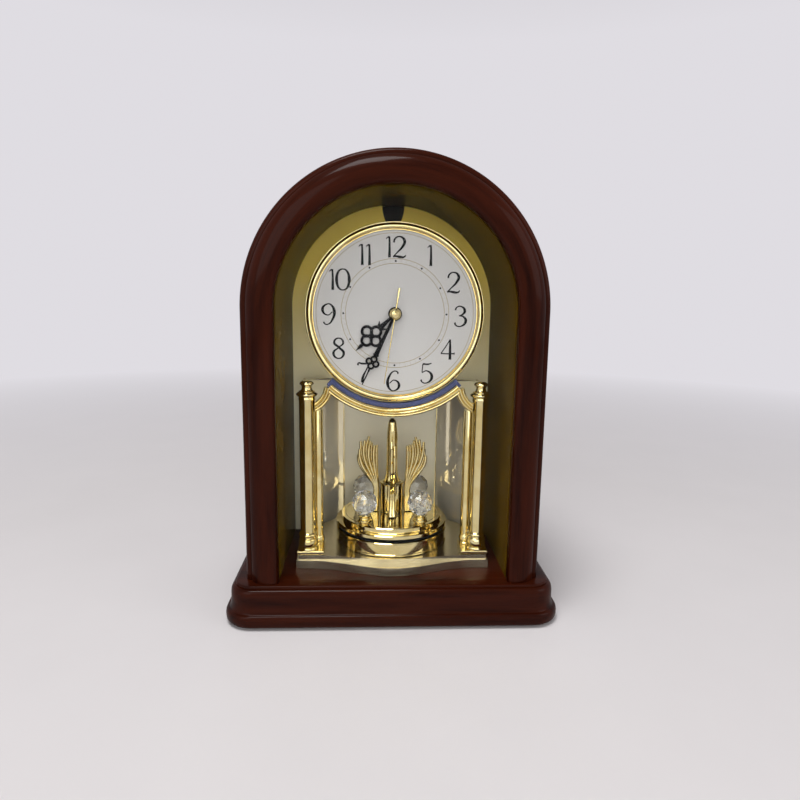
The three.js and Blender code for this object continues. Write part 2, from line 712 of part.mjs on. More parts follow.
// Places of the four screws on the rear ledge of the hoop.
function screwPlaces() {
  const radius = HOOP_INNER + REAR_LEDGE / 2;
  const angle = THREE.MathUtils.degToRad(SCREW_ARC_DEGREES);
  const arcX = radius * Math.cos(angle);
  const arcZ = SPRING_Z + radius * Math.sin(angle);
  return [
    [-radius, FOOT_Z + SCREW_FOOT_HEIGHT],
    [radius, FOOT_Z + SCREW_FOOT_HEIGHT],
    [-arcX, arcZ],
    [arcX, arcZ],
  ];
}

function panelShape() {
  const radius = HOOP_INNER - FIT;
  const windowHalf = bayX(PANEL_Y, MIRROR_THICKNESS + FIT + TRAY_WALL) + FIT;
  const half = Math.asin(KEYSTONE_TOP / 2 / radius);
  const notchZ = SPRING_Z + radius - KEYSTONE_DEPTH;
  const shape = new THREE.Shape();
  shape.moveTo(-radius, FOOT_Z);
  shape.lineTo(-radius, SPRING_Z);
  shape.absarc(0, SPRING_Z, radius, Math.PI, Math.PI / 2 + half, true);
  shape.lineTo(-KEYSTONE_FOOT / 2, notchZ);
  shape.lineTo(KEYSTONE_FOOT / 2, notchZ);
  shape.absarc(0, SPRING_Z, radius, Math.PI / 2 - half, 0, true);
  shape.lineTo(radius, FOOT_Z);
  shape.lineTo(windowHalf, FOOT_Z);
  shape.lineTo(windowHalf, BAY_TOP);
  shape.lineTo(-windowHalf, BAY_TOP);
  shape.lineTo(-windowHalf, FOOT_Z);
  shape.holes.push(circlePath(0, DIAL_Z, DRUM_OUTER - PANEL_HOLE_INSET, RING_STEPS));
  return shape;
}

function buildCase() {
  addTo(clock, 'arch_frame', archSweep(frameSection()), MAHOGANY);
  const hoopFront = FRAME_Y + FRAME_DEPTH + FIT;
  const ledgeY = COVER_Y - FIT;
  const hoop = archSweep(points([
    [HOOP_INNER, hoopFront],
    [HOOP_OUTER, hoopFront],
    [HOOP_OUTER, REAR_Y],
    [HOOP_INNER + REAR_LEDGE, REAR_Y],
    [HOOP_INNER + REAR_LEDGE, ledgeY],
    [HOOP_INNER, ledgeY],
  ]));
  const pilots = screwPlaces().map(([x, z]) => rod(SCREW_SHANK_RADIUS + FIT, ledgeY - SCREW_LENGTH, REAR_Y)
    .translate(x, 0, z));
  addTo(clock, 'arch_hoop', cut(hoop, ...pilots), MAHOGANY);
  const glass = archShape(OPENING_RADIUS + FRAME_REBATE - FIT);
  addTo(clock, 'front_glass', plate(glass, GLASS_Y, GLASS_THICKNESS), CLEAR);
  const lining = archSweep(points([
    [OPENING_RADIUS, CHAMBER_Y + FIT],
    [OPENING_RADIUS + LINING_THICKNESS, CHAMBER_Y + FIT],
    [OPENING_RADIUS + LINING_THICKNESS, PANEL_Y - FIT],
    [OPENING_RADIUS, PANEL_Y - FIT],
  ]));
  addTo(clock, 'inner_lining', lining, OLIVE_GLOSS);
  addTo(clock, 'back_panel', plate(panelShape(), PANEL_Y, PANEL_THICKNESS, ARCH_STEPS / 4), SATIN_GOLD);
}

// Rear cover with a door on a side hinge

const HINGE_X = -DOOR_WIDTH / 2;
const HINGE_Y = COVER_Y + COVER_THICKNESS + FIT + KNUCKLE_RADIUS;

// A hinge knuckle with its leaf, centred on a height. The leaf lies to the given side.
function knuckle(z, side) {
  const back = COVER_Y + COVER_THICKNESS;
  const low = z - KNUCKLE_LENGTH / 2;
  const high = z + KNUCKLE_LENGTH / 2;
  const bore = HINGE_PIN_RADIUS + FIT;
  const barrel = upright(
    [[bore, low], [KNUCKLE_RADIUS, low], [KNUCKLE_RADIUS, high], [bore, high], [bore, low]],
    TURNED_STEPS,
  ).translate(HINGE_X, HINGE_Y, 0);
  const near = HINGE_X + side * (bore + FIT);
  const far = HINGE_X + side * HINGE_LEAF;
  const root = back - HINGE_LEAF_THICKNESS;
  const edge = HINGE_X + side * (DOOR_GAP + 2 * FIT);
  const leaf = box(
    [Math.min(edge, far), root, low],
    [Math.max(edge, far), back + HINGE_LEAF_THICKNESS, high],
  );
  const arm = box(
    [Math.min(near, far), back + FIT, low],
    [Math.max(near, far), back + FIT + HINGE_LEAF_THICKNESS, high],
  );
  return [barrel, join(leaf, arm)];
}

function buildRear() {
  const cover = archShape(HOOP_INNER + REAR_LEDGE - FIT);
  const doorOutline = (gap) => roundedOutline(
    0,
    DIAL_Z,
    DOOR_WIDTH / 2 + gap,
    DOOR_HEIGHT / 2 + gap,
    DOOR_CORNER + gap,
  );
  cover.holes.push(new THREE.Path(doorOutline(DOOR_GAP)));
  screwPlaces().forEach(([x, z]) => {
    cover.holes.push(circlePath(x, z, SCREW_SHANK_RADIUS + FIT, PIN_STEPS));
  });
  const coverPlate = plate(cover, COVER_Y, COVER_THICKNESS);
  addTo(clock, 'rear_cover', join(coverPlate, ...knuckle(DIAL_Z, -1)), DARK_BOARD);

  const door = plate(new THREE.Shape(doorOutline(0)), COVER_Y, COVER_THICKNESS);
  const spacing = KNUCKLE_LENGTH + FIT;
  const knobBack = COVER_Y + COVER_THICKNESS;
  const knob = turned([
    [0, knobBack - FIT],
    [DOOR_KNOB_RADIUS / 2, knobBack - FIT],
    [DOOR_KNOB_RADIUS / 2, knobBack + DOOR_KNOB_HEIGHT / 2],
    ...dome(DOOR_KNOB_RADIUS, knobBack + DOOR_KNOB_HEIGHT / 2, knobBack + DOOR_KNOB_HEIGHT),
  ], TURNED_STEPS).translate(DOOR_WIDTH / 2 - DOOR_KNOB_INSET, 0, DIAL_Z);
  const hung = [...knuckle(DIAL_Z - spacing, 1), ...knuckle(DIAL_Z + spacing, 1)];
  addTo(clock, 'rear_door', join(door, knob, ...hung), DARK_BOARD);

  const half = 1.5 * KNUCKLE_LENGTH + FIT;
  const pin = upright([
    [0, -half],
    [HINGE_PIN_RADIUS, -half],
    [HINGE_PIN_RADIUS, half + FIT],
    [HINGE_PIN_HEAD, half + FIT],
    [HINGE_PIN_HEAD, half + FIT + HINGE_PIN_RADIUS],
    [0, half + FIT + HINGE_PIN_RADIUS],
  ], PIN_STEPS).translate(HINGE_X, HINGE_Y, DIAL_Z);
  addTo(clock, 'door_pin', pin, STEEL);

  const headFront = COVER_Y + COVER_THICKNESS + FIT;
  screwPlaces().forEach(([x, z], i) => {
    const screw = turned([
      [0, headFront - SCREW_LENGTH],
      [SCREW_SHANK_RADIUS, headFront - SCREW_LENGTH + SCREW_SHANK_RADIUS],
      [SCREW_SHANK_RADIUS, headFront],
      ...dome(SCREW_HEAD_RADIUS, headFront, headFront + SCREW_HEAD_HEIGHT),
    ], PIN_STEPS).translate(x, 0, z);
    addTo(clock, `rear_screw_${i + 1}`, screw, STEEL);
  });
}

// Platform and mirror bay

// X of the slanted mirror line at a depth, moved outwards by an offset.
function bayX(y, offset) {
  const run = BAY_HALF_BACK - BAY_HALF_FRONT;
  const rise = BAY_BACK_Y - BAY_FRONT_Y;
  const length = Math.hypot(run, rise);
  const startX = BAY_HALF_FRONT + offset * rise / length;
  const startY = BAY_FRONT_Y - offset * run / length;
  return startX + run * (y - startY) / rise;
}

const mirrored = (pairs) => pairs.map(([x, y]) => [-x, y]).reverse();

function platformShape(inset) {
  const half = PLATFORM_HALF - inset;
  const rear = BAY_FRONT_Y - TRAY_WALL - FIT;
  const tongueBack = BAY_BACK_Y - TONGUE_GAP;
  const front = [];
  for (let i = 0; i <= SERPENTINE_STEPS; i += 1) {
    const x = half * (2 * i / SERPENTINE_STEPS - 1);
    const swell = Math.cos(Math.PI * x / (2 * half)) ** 2;
    front.push([x, PLATFORM_Y + inset - PLATFORM_BULGE * swell]);
  }
  const side = [
    [half, rear],
    [bayX(BAY_FRONT_Y, -TONGUE_GAP), rear],
    [bayX(tongueBack, -TONGUE_GAP), tongueBack],
  ];
  const shape = polygon([...front, ...side, ...mirrored(side)]);
  shape.holes.push(circlePath(0, AXIS_Y, SPIGOT_RADIUS + FIT, RING_STEPS));
  return shape;
}

function buildPlatform() {
  const tierTop = FOOT_Z + PLATFORM_LOWER;
  const lower = prism(platformShape(0), FOOT_Z, tierTop);
  const upper = prism(platformShape(PLATFORM_STEP), FOOT_Z, PLATFORM_TOP);
  addTo(clock, 'platform', join(lower, upper), GOLD);
}

function buildMirrorBay() {
  const seat = MIRROR_THICKNESS + FIT;
  const skin = seat + TRAY_WALL;
  const flangeY = BAY_FRONT_Y - TRAY_WALL;
  const flangeX = BAY_HALF_FRONT + TRAY_FLANGE;
  const outside = [
    [flangeX - TRAY_WALL, PANEL_Y - FIT],
    [flangeX, PANEL_Y - FIT],
    [flangeX, flangeY],
    [BAY_HALF_FRONT, flangeY],
    [BAY_HALF_FRONT, BAY_FRONT_Y],
    [bayX(BAY_FRONT_Y, seat), BAY_FRONT_Y],
    [bayX(BAY_BACK_Y + seat, seat), BAY_BACK_Y + seat],
  ];
  const inside = [
    [bayX(BAY_BACK_Y + skin, skin), BAY_BACK_Y + skin],
    [bayX(BAY_FRONT_Y + TRAY_WALL, skin), BAY_FRONT_Y + TRAY_WALL],
    [flangeX - TRAY_WALL, BAY_FRONT_Y + TRAY_WALL],
  ];
  const tray = polygon([...outside, ...mirrored(outside), ...mirrored(inside), ...inside]);
  addTo(clock, 'mirror_tray', prism(tray, FOOT_Z, BAY_TOP), GOLD);

  const half = BAY_HALF_BACK - FIT;
  const centre = box([-half, BAY_BACK_Y, FOOT_Z], [half, BAY_BACK_Y + MIRROR_THICKNESS, BAY_TOP]);
  addTo(clock, 'mirror_centre', centre, SILVERED);
  const front = BAY_FRONT_Y + FIT;
  const back = BAY_BACK_Y - FIT;
  const side = [
    [bayX(front, 0), front],
    [bayX(front, MIRROR_THICKNESS), front],
    [bayX(back, MIRROR_THICKNESS), back],
    [bayX(back, 0), back],
  ];
  addTo(clock, 'mirror_left', prism(polygon(mirrored(side)), FOOT_Z, BAY_TOP), SILVERED);
  addTo(clock, 'mirror_right', prism(polygon(side), FOOT_Z, BAY_TOP), SILVERED);
}

// Columns

function columnProfile() {
  const shaftTop = COLUMN_HEIGHT;
  const capTop = shaftTop + COLUMN_CAP_HEIGHT;
  const ballBottom = capTop + FINIAL_NECK_HEIGHT;
  const ringHeight = COLUMN_BASE_HEIGHT / 4;
  return [
    [0, 0],
    [COLUMN_BASE_RADIUS, 0],
    [COLUMN_BASE_RADIUS, ringHeight],
    [COLUMN_RADIUS, 2 * ringHeight],
    [COLUMN_BASE_RADIUS, 3 * ringHeight],
    [COLUMN_RADIUS, COLUMN_BASE_HEIGHT],
    [COLUMN_RADIUS, shaftTop],
    [COLUMN_CAP_RADIUS, shaftTop + COLUMN_CAP_HEIGHT / 3],
    [COLUMN_CAP_RADIUS, shaftTop + COLUMN_CAP_HEIGHT * 2 / 3],
    [FINIAL_NECK, capTop],
    [FINIAL_NECK, ballBottom],
    ...dome(FINIAL_RADIUS, ballBottom + FINIAL_BALL_HEIGHT / 3, ballBottom + FINIAL_BALL_HEIGHT),
  ];
}

function slimProfile() {
  const top = COLUMN_HEIGHT - SLIM_SHORTER;
  const ringHeight = COLUMN_BASE_HEIGHT / 4;
  return [
    [0, 0],
    [SLIM_BASE_RADIUS, 0],
    [SLIM_BASE_RADIUS, ringHeight],
    [SLIM_RADIUS, 2 * ringHeight],
    [SLIM_RADIUS, top],
    [0, top],
  ];
}

function buildColumns() {
  const slimX = COLUMN_X - SLIM_ASIDE;
  const slimY = COLUMN_Y + SLIM_BEHIND;
  const low = [slimX - SLIM_BASE_RADIUS - PEDESTAL_MARGIN, COLUMN_Y - COLUMN_BASE_RADIUS - PEDESTAL_MARGIN];
  const high = [COLUMN_X + COLUMN_BASE_RADIUS - PEDESTAL_MARGIN, slimY + SLIM_BASE_RADIUS + PEDESTAL_MARGIN];
  const seatTop = COLUMN_FOOT + PEDESTAL_HEIGHT;
  const sunk = seatTop - PEDESTAL_HEIGHT / 2;
  const pedestal = box([...low, COLUMN_FOOT], [...high, seatTop]);
  const column = upright(columnProfile(), TURNED_STEPS).translate(COLUMN_X, COLUMN_Y, sunk);
  const slim = upright(slimProfile(), PIN_STEPS).translate(slimX, slimY, sunk);
  const group = join(pedestal, column, slim);
  addTo(clock, 'column_right', group, GOLD);
  addTo(clock, 'column_left', group.clone().scale(-1, 1, 1), GOLD);
}

// Yoke and collar, in the dial's own X and Z

const YOKE_INNER = BEZEL_RADIUS + YOKE_GAP;
const CUSP_ANGLE = Math.asin((YOKE_END_X - SWAG_SPAN) / (YOKE_INNER + YOKE_WIDTH / 2));

// Across and forward: fine ridges that fall back in a curve towards the outer edge.
function yokeSection() {
  const section = [[0, 0]];
  for (let i = 0; i < YOKE_RIDGES; i += 1) {
    const across = YOKE_WIDTH * i / YOKE_RIDGES;
    const crest = YOKE_WIDTH * (i + 0.5) / YOKE_RIDGES;
    const fall = YOKE_FALL * (i / YOKE_RIDGES) ** 2;
    section.push([across, YOKE_DEPTH - YOKE_RIDGE_HEIGHT - fall]);
    section.push([crest, YOKE_DEPTH - fall]);
  }
  section.push([YOKE_WIDTH, YOKE_DEPTH - YOKE_RIDGE_HEIGHT - YOKE_FALL]);
  section.push([YOKE_WIDTH, 0]);
  return section;
}

function buildYoke() {
  const backY = COLUMN_Y + COLUMN_RADIUS - FIT - YOKE_DEPTH / 2;
  const section = yokeSection();
  const arc = [];
  for (let i = 0; i <= YOKE_STEPS; i += 1) {
    const angle = CUSP_ANGLE * (2 * i / YOKE_STEPS - 1);
    arc.push(section.map(([across, forward]) => new THREE.Vector3(
      (YOKE_INNER + across) * Math.sin(angle),
      backY - forward,
      DIAL_Z - (YOKE_INNER + across) * Math.cos(angle),
    )));
  }
  const middle = YOKE_INNER + YOKE_WIDTH / 2;
  const cusp = new THREE.Vector2(middle * Math.sin(CUSP_ANGLE), DIAL_Z - middle * Math.cos(CUSP_ANGLE));
  const end = new THREE.Vector2(YOKE_END_X, cusp.y - SWAG_DROP);
  const sag = new THREE.Vector2((cusp.x + end.x) / 2 - SWAG_SAG / 2, (cusp.y + end.y) / 2 - SWAG_SAG);
  const curve = new THREE.QuadraticBezierCurve(cusp, sag, end);
  const swag = [];
  for (let i = 0; i <= SWAG_STEPS; i += 1) {
    const t = i / SWAG_STEPS;
    const place = curve.getPoint(t);
    const along = i === SWAG_STEPS ? new THREE.Vector2(1, 0) : curve.getTangent(t);
    swag.push(section.map(([across, forward]) => {
      const shift = YOKE_WIDTH / 2 - across;
      return new THREE.Vector3(place.x - shift * along.y, backY - forward, place.y + shift * along.x);
    }));
  }
  const right = loft(swag);
  const left = right.clone().scale(-1, 1, 1);
  addTo(clock, 'yoke', join(loft(arc), right, left), GOLD);

  const collar = new THREE.Shape();
  const reach = CUSP_ANGLE + THREE.MathUtils.degToRad(COLLAR_EXTRA_DEGREES);
  const inner = BEZEL_RADIUS + FIT;
  const start = -Math.PI / 2 - reach;
  const stop = -Math.PI / 2 + reach;
  collar.moveTo(inner * Math.cos(start), DIAL_Z + inner * Math.sin(start));
  collar.absarc(0, DIAL_Z, YOKE_INNER + COLLAR_TUCK, start, stop, false);
  collar.absarc(0, DIAL_Z, inner, stop, start, true);
  addTo(clock, 'dial_collar', plate(collar, backY + FIT, COLLAR_DEPTH, YOKE_STEPS / 2), SLATE_BLUE);
}

// Dial, in its own group: Y is the depth behind the dial's face

const dial = new THREE.Group();
dial.position.set(0, DIAL_Y, DIAL_Z);
clock.add(dial);

function buildDial() {
  const seat = DIAL_THICKNESS + FIT;
  const plateRadius = BEZEL_RADIUS - FIT;
  const face = new THREE.Shape(circlePath(0, 0, plateRadius, RING_STEPS).getPoints());
  face.holes.push(circlePath(0, 0, HAND_HOLE, TURNED_STEPS));
  addTo(dial, 'dial_plate', plate(face, 0, DIAL_THICKNESS), PALE_DIAL);

  const inner = BEZEL_RADIUS - BEZEL_WIDTH;
  const swellOuter = BEZEL_RADIUS - BEZEL_RIM;
  const crown = 2 * BEZEL_DEPTH - (BEZEL_LIP + BEZEL_GROOVE) / 2;
  const profile = new THREE.Path();
  profile.moveTo(inner, -FIT);
  profile.lineTo(inner, -FIT - BEZEL_LIP);
  profile.quadraticCurveTo((inner + swellOuter) / 2, -FIT - crown, swellOuter, -FIT - BEZEL_GROOVE);
  profile.lineTo(BEZEL_RADIUS - BEZEL_RIM / 2, -FIT - BEZEL_RIM_DEPTH);
  profile.lineTo(BEZEL_RADIUS, -FIT - BEZEL_RIM_DEPTH);
  profile.lineTo(BEZEL_RADIUS, -FIT);
  profile.lineTo(inner, -FIT);
  const bezel = turned(profile.getPoints(CURVE_STEPS).map((p) => [p.x, p.y]), RING_STEPS);
  addTo(dial, 'dial_bezel', bezel, GOLD);

  const drumBack = PANEL_Y - FIT - DIAL_Y;
  const flangeRadius = BEZEL_RADIUS - FIT;
  const drum = turned([
    [DRUM_INNER, seat],
    [flangeRadius, seat],
    [flangeRadius, seat + DRUM_FLANGE],
    [DRUM_OUTER, seat + DRUM_FLANGE],
    [DRUM_OUTER, drumBack],
    [DRUM_INNER, drumBack],
    [DRUM_INNER, seat],
  ], RING_STEPS);
  addTo(dial, 'dial_drum', drum, DARK_PLASTIC);
}

// A pierced hand that points to twelve: boss, tapering stem, four rings round a flower and a pointed tip.
function pierced(length, flower, lobe, boreRadius, front) {
  const bossRadius = boreRadius + HAND_BOSS_WALL;
  const outerLobe = lobe * LOBE_OUTER_SHARE;
  const innerLobe = lobe * LOBE_INNER_SHARE;
  const ring = (x, z, outer, inner, steps) => {
    const shape = new THREE.Shape(circlePath(x, z, outer, steps).getPoints());
    shape.holes.push(circlePath(x, z, inner, steps));
    return plate(shape, front, HAND_THICKNESS);
  };
  const stem = polygon([
    [-HAND_TIP, boreRadius + HAND_BOSS_WALL / 2],
    [HAND_TIP, boreRadius + HAND_BOSS_WALL / 2],
    [HAND_STEM / 2, flower - lobe - outerLobe],
    [HAND_TIP, flower - lobe - innerLobe],
    [-HAND_TIP, flower - lobe - innerLobe],
    [-HAND_STEM / 2, flower - lobe - outerLobe],
  ]);
  const tip = polygon([
    [-HAND_TIP, flower + lobe + innerLobe],
    [HAND_TIP, flower + lobe + innerLobe],
    [HAND_TIP / 2, length],
    [-HAND_TIP / 2, length],
  ]);
  return join(
    ring(0, 0, bossRadius, boreRadius, TURNED_STEPS),
    plate(stem, front, HAND_THICKNESS),
    plate(tip, front, HAND_THICKNESS),
    ring(0, flower - lobe, outerLobe, innerLobe, PIN_STEPS),
    ring(0, flower + lobe, outerLobe, innerLobe, PIN_STEPS),
    ring(-lobe, flower, outerLobe, innerLobe, PIN_STEPS),
    ring(lobe, flower, outerLobe, innerLobe, PIN_STEPS),
  );
}

function buildHands() {
  const turn = (geometry, degrees) => geometry.rotateY(THREE.MathUtils.degToRad(degrees));
  const hour = pierced(HOUR_LENGTH, HOUR_FLOWER, HOUR_LOBE, HOUR_PIPE_OUTER + FIT, HOUR_HAND_Y);
  addTo(dial, 'hour_hand', turn(hour, HOUR_DEGREES), BLACK_HAND);
  const minute = pierced(MINUTE_LENGTH, MINUTE_FLOWER, MINUTE_LOBE, MINUTE_PIPE_OUTER + FIT, MINUTE_HAND_Y);
  addTo(dial, 'minute_hand', turn(minute, MINUTE_DEGREES), BLACK_HAND);
  const blade = polygon([
    [-SECOND_WIDTH / 2, -SECOND_TAIL],
    [SECOND_WIDTH / 2, -SECOND_TAIL],
    [SECOND_WIDTH / 4, SECOND_LENGTH],
    [-SECOND_WIDTH / 4, SECOND_LENGTH],
  ]);
  const cap = turned([
    [0, SECOND_HAND_Y + HAND_THICKNESS],
    [CAP_RADIUS, SECOND_HAND_Y + HAND_THICKNESS],
    ...dome(CAP_RADIUS, SECOND_HAND_Y, SECOND_HAND_Y - CAP_HEIGHT),
  ], TURNED_STEPS);
  const second = join(plate(blade, SECOND_HAND_Y, HAND_THICKNESS), cap);
  addTo(dial, 'second_hand', turn(second, SECOND_DEGREES), GOLD);
}

// Movement, in the dial's group

const gearPlate = (shape, front) => plate(shape, front, GEAR_THICKNESS);
const at = (geometry, [x, z]) => geometry.translate(x, 0, z);

// Phases of a meshing pair: the first gear has a tooth on the line of centres, the second has a gap there.
function mesh(from, to, teeth) {
  const towards = Math.atan2(to[1] - from[1], to[0] - from[0]);
  return { tooth: towards, gap: towards + Math.PI + Math.PI / teeth };
}

function buildMovementCase() {
  const half = MOVEMENT_HALF;
  const shell = box([-half, MOVEMENT_FRONT, MOVEMENT_BOTTOM], [half, TRAIN_BACK, MOVEMENT_TOP]);
  const inside = half - MOVEMENT_WALL;
  const past = TRAIN_BACK + MOVEMENT_WALL;
  const trainRoom = box([-inside, TRAIN_FRONT, TRAIN_FLOOR], [inside, past, MOVEMENT_TOP - MOVEMENT_WALL]);
  const batteryRoom = box(
    [-inside, TRAIN_FRONT, MOVEMENT_BOTTOM + MOVEMENT_WALL],
    [inside, past, TRAIN_FLOOR - MOVEMENT_WALL],
  );
  const handHole = rod(HAND_HOLE, 0, past, TURNED_STEPS);
  const pivot = ARBOR_RADIUS + FIT;
  const sockets = [FIFTH_AXIS, ROTOR_AXIS, THIRD_AXIS, MINUTE_AXIS]
    .map((axis) => at(rod(pivot, TRAIN_FRONT - PIVOT_DEPTH, past), axis));
  addTo(dial, 'movement_case', cut(shell, trainRoom, batteryRoom, handHole, ...sockets), DARK_PLASTIC);

  const cover = box(
    [-half, COVER_PLATE_Y, TRAIN_FLOOR - MOVEMENT_WALL],
    [half, COVER_PLATE_BACK, MOVEMENT_TOP],
  );
  const blind = [CENTRE_AXIS, FIFTH_AXIS, ROTOR_AXIS, THIRD_AXIS]
    .map((axis) => at(rod(SECOND_ARBOR_RADIUS + FIT, TRAIN_FRONT, COVER_PLATE_Y + PIVOT_DEPTH), axis));
  const through = at(rod(pivot, TRAIN_FRONT, COVER_PLATE_BACK + FIT), MINUTE_AXIS);
  addTo(dial, 'movement_cover', cut(cover, ...blind, through), DARK_PLASTIC);
}

function buildTrain() {
  const frontPivot = TRAIN_FRONT - PIVOT_DEPTH + FIT;
  const backPivot = COVER_PLATE_Y + PIVOT_DEPTH - FIT;
  const arbor = () => rod(ARBOR_RADIUS, frontPivot, backPivot);

  const rotorMesh = mesh(ROTOR_AXIS, FIFTH_AXIS, FIFTH_TEETH);
  const rotor = join(
    arbor(),
    gearPlate(gearShape(ROTOR_PINION, TRAIN_MODULE, rotorMesh.tooth), FIFTH_LAYER),
    rod(ROTOR_MAGNET_RADIUS, MAGNET_Y, MAGNET_Y + ROTOR_MAGNET_LENGTH, TURNED_STEPS),
  );
  addTo(dial, 'rotor', at(rotor, ROTOR_AXIS), STEEL);

  const fifthMesh = mesh(FIFTH_AXIS, CENTRE_AXIS, SECOND_TEETH);
  const fifth = join(
    arbor(),
    gearPlate(gearShape(FIFTH_TEETH, TRAIN_MODULE, rotorMesh.gap), FIFTH_LAYER),
    gearPlate(gearShape(FIFTH_PINION, STEP_MODULE, fifthMesh.tooth), SECOND_LAYER),
  );
  addTo(dial, 'fifth_wheel', at(fifth, FIFTH_AXIS), WHITE_PLASTIC);

  const secondMesh = mesh(CENTRE_AXIS, THIRD_AXIS, THIRD_TEETH);
  const second = join(
    rod(SECOND_ARBOR_RADIUS, SECOND_HAND_Y + HAND_THICKNESS + FIT, backPivot),
    gearPlate(gearShape(SECOND_TEETH, STEP_MODULE, fifthMesh.gap), SECOND_LAYER),
    gearPlate(gearShape(SECOND_PINION, TRAIN_MODULE, secondMesh.tooth), THIRD_LAYER),
  );
  addTo(dial, 'second_wheel', second, WHITE_PLASTIC);

  const thirdMesh = mesh(THIRD_AXIS, CENTRE_AXIS, CENTRE_TEETH);
  const third = join(
    arbor(),
    gearPlate(gearShape(THIRD_TEETH, TRAIN_MODULE, secondMesh.gap), THIRD_LAYER),
    gearPlate(gearShape(THIRD_PINION, CENTRE_MODULE, thirdMesh.tooth), CENTRE_LAYER),
  );
  addTo(dial, 'third_wheel', at(third, THIRD_AXIS), WHITE_PLASTIC);

  const centre = gearShape(CENTRE_TEETH, CENTRE_MODULE, thirdMesh.gap, MINUTE_PIPE_OUTER + FIT);
  addTo(dial, 'centre_wheel', gearPlate(centre, CENTRE_LAYER), WHITE_PLASTIC);
}

function buildMotionWork() {
  const motionMesh = mesh(CENTRE_AXIS, MINUTE_AXIS, MINUTE_WHEEL_TEETH);
  const pinion = gearShape(MINUTE_PINION, MOTION_MODULE, motionMesh.tooth, MINUTE_PIPE_INNER);
  const pipeBack = CENTRE_LAYER + GEAR_THICKNESS + FIT;
  const minutePipe = join(
    pipe(MINUTE_PIPE_INNER, MINUTE_PIPE_OUTER, MINUTE_HAND_Y, pipeBack, TURNED_STEPS),
    gearPlate(pinion, MOTION_LAYER),
  );
  addTo(dial, 'minute_pipe', minutePipe, BRASS);

  const hourMesh = mesh(MINUTE_AXIS, CENTRE_AXIS, HOUR_TEETH);
  const knobMiddle = COVER_PLATE_BACK + FIT + KNOB_LENGTH / 2;
  const minuteWheel = join(
    rod(ARBOR_RADIUS, TRAIN_FRONT - PIVOT_DEPTH + FIT, knobMiddle),
    gearPlate(gearShape(MINUTE_WHEEL_TEETH, MOTION_MODULE, motionMesh.gap), MOTION_LAYER),
    gearPlate(gearShape(MINUTE_WHEEL_PINION, HOUR_MODULE, hourMesh.tooth), HOUR_LAYER),
  );
  addTo(dial, 'minute_wheel', at(minuteWheel, MINUTE_AXIS), WHITE_PLASTIC);

  const hourWheel = join(
    pipe(HOUR_PIPE_INNER, HOUR_PIPE_OUTER, HOUR_HAND_Y, HOUR_LAYER + GEAR_THICKNESS, TURNED_STEPS),
    gearPlate(gearShape(HOUR_TEETH, HOUR_MODULE, hourMesh.gap, HOUR_PIPE_INNER), HOUR_LAYER),
  );
  addTo(dial, 'hour_wheel', hourWheel, WHITE_PLASTIC);

  const knobFront = COVER_PLATE_BACK + FIT;
  const bore = ARBOR_RADIUS + FIT;
  const knob = turned([
    [0, knobMiddle + FIT],
    [bore, knobMiddle + FIT],
    [bore, knobFront],
    [KNOB_RADIUS, knobFront],
    [KNOB_RADIUS, knobFront + KNOB_LENGTH],
    [0, knobFront + KNOB_LENGTH],
  ], TURNED_STEPS);
  addTo(dial, 'set_knob', at(knob, MINUTE_AXIS), DARK_PLASTIC);
}

function buildElectrics() {
  const [rotorX, rotorZ] = ROTOR_AXIS;
  const reach = ROTOR_MAGNET_RADIUS + STATOR_GAP + STATOR_WALL;
  const coreTop = COIL_Z + COIL_CORE / 2;
  const stator = polygon([
    [rotorX - reach, rotorZ - reach],
    [rotorX + reach, rotorZ - reach],
    [rotorX + reach, coreTop - COIL_CORE],
    [rotorX + reach + STATOR_WALL + COIL_LENGTH, coreTop - COIL_CORE],
    [rotorX + reach + STATOR_WALL + COIL_LENGTH, coreTop],
    [rotorX - reach, coreTop],
  ]);
  stator.holes.push(circlePath(rotorX, rotorZ, ROTOR_MAGNET_RADIUS + STATOR_GAP, TURNED_STEPS));
  const statorY = MAGNET_Y + (ROTOR_MAGNET_LENGTH - STATOR_THICKNESS) / 2;
  const coil = rod(COIL_RADIUS, 0, COIL_LENGTH, TURNED_STEPS)
    .rotateZ(-Math.PI / 2)
    .translate(rotorX + reach + STATOR_WALL / 2, statorY + STATOR_THICKNESS / 2, COIL_Z);
  addTo(dial, 'drive_coil', join(plate(stator, statorY, STATOR_THICKNESS), coil), COPPER);

  const right = MOVEMENT_HALF - MOVEMENT_WALL - FIT;
  const top = MOVEMENT_TOP - MOVEMENT_WALL - FIT;
  const boardBack = TRAIN_BACK - FIT;
  const board = box(
    [right - BOARD_WIDTH, boardBack - BOARD_THICKNESS, top - BOARD_HEIGHT],
    [right, boardBack, top],
  );
  addTo(dial, 'circuit_board', board, GREEN_BOARD);

  const bodyEnd = BATTERY_LENGTH / 2 - BATTERY_NUB_LENGTH;
  const battery = turned([
    [0, -BATTERY_LENGTH / 2],
    [BATTERY_RADIUS, -BATTERY_LENGTH / 2],
    [BATTERY_RADIUS, bodyEnd],
    [BATTERY_NUB_RADIUS, bodyEnd],
    [BATTERY_NUB_RADIUS, BATTERY_LENGTH / 2],
    [0, BATTERY_LENGTH / 2],
  ], TURNED_STEPS).rotateZ(-Math.PI / 2).translate(0, BATTERY_Y, BATTERY_Z);
  addTo(dial, 'battery', battery, BATTERY_SLEEVE);
  const contact = (side) => new THREE.BoxGeometry(CONTACT_THICKNESS, CONTACT_WIDTH, CONTACT_WIDTH)
    .translate(side * (BATTERY_LENGTH / 2 + FIT + CONTACT_THICKNESS / 2), BATTERY_Y, BATTERY_Z);
  addTo(dial, 'contact_plus', contact(1), STEEL);
  addTo(dial, 'contact_minus', contact(-1), STEEL);
}

// Turntable and its drive, in a group on the turntable's axis

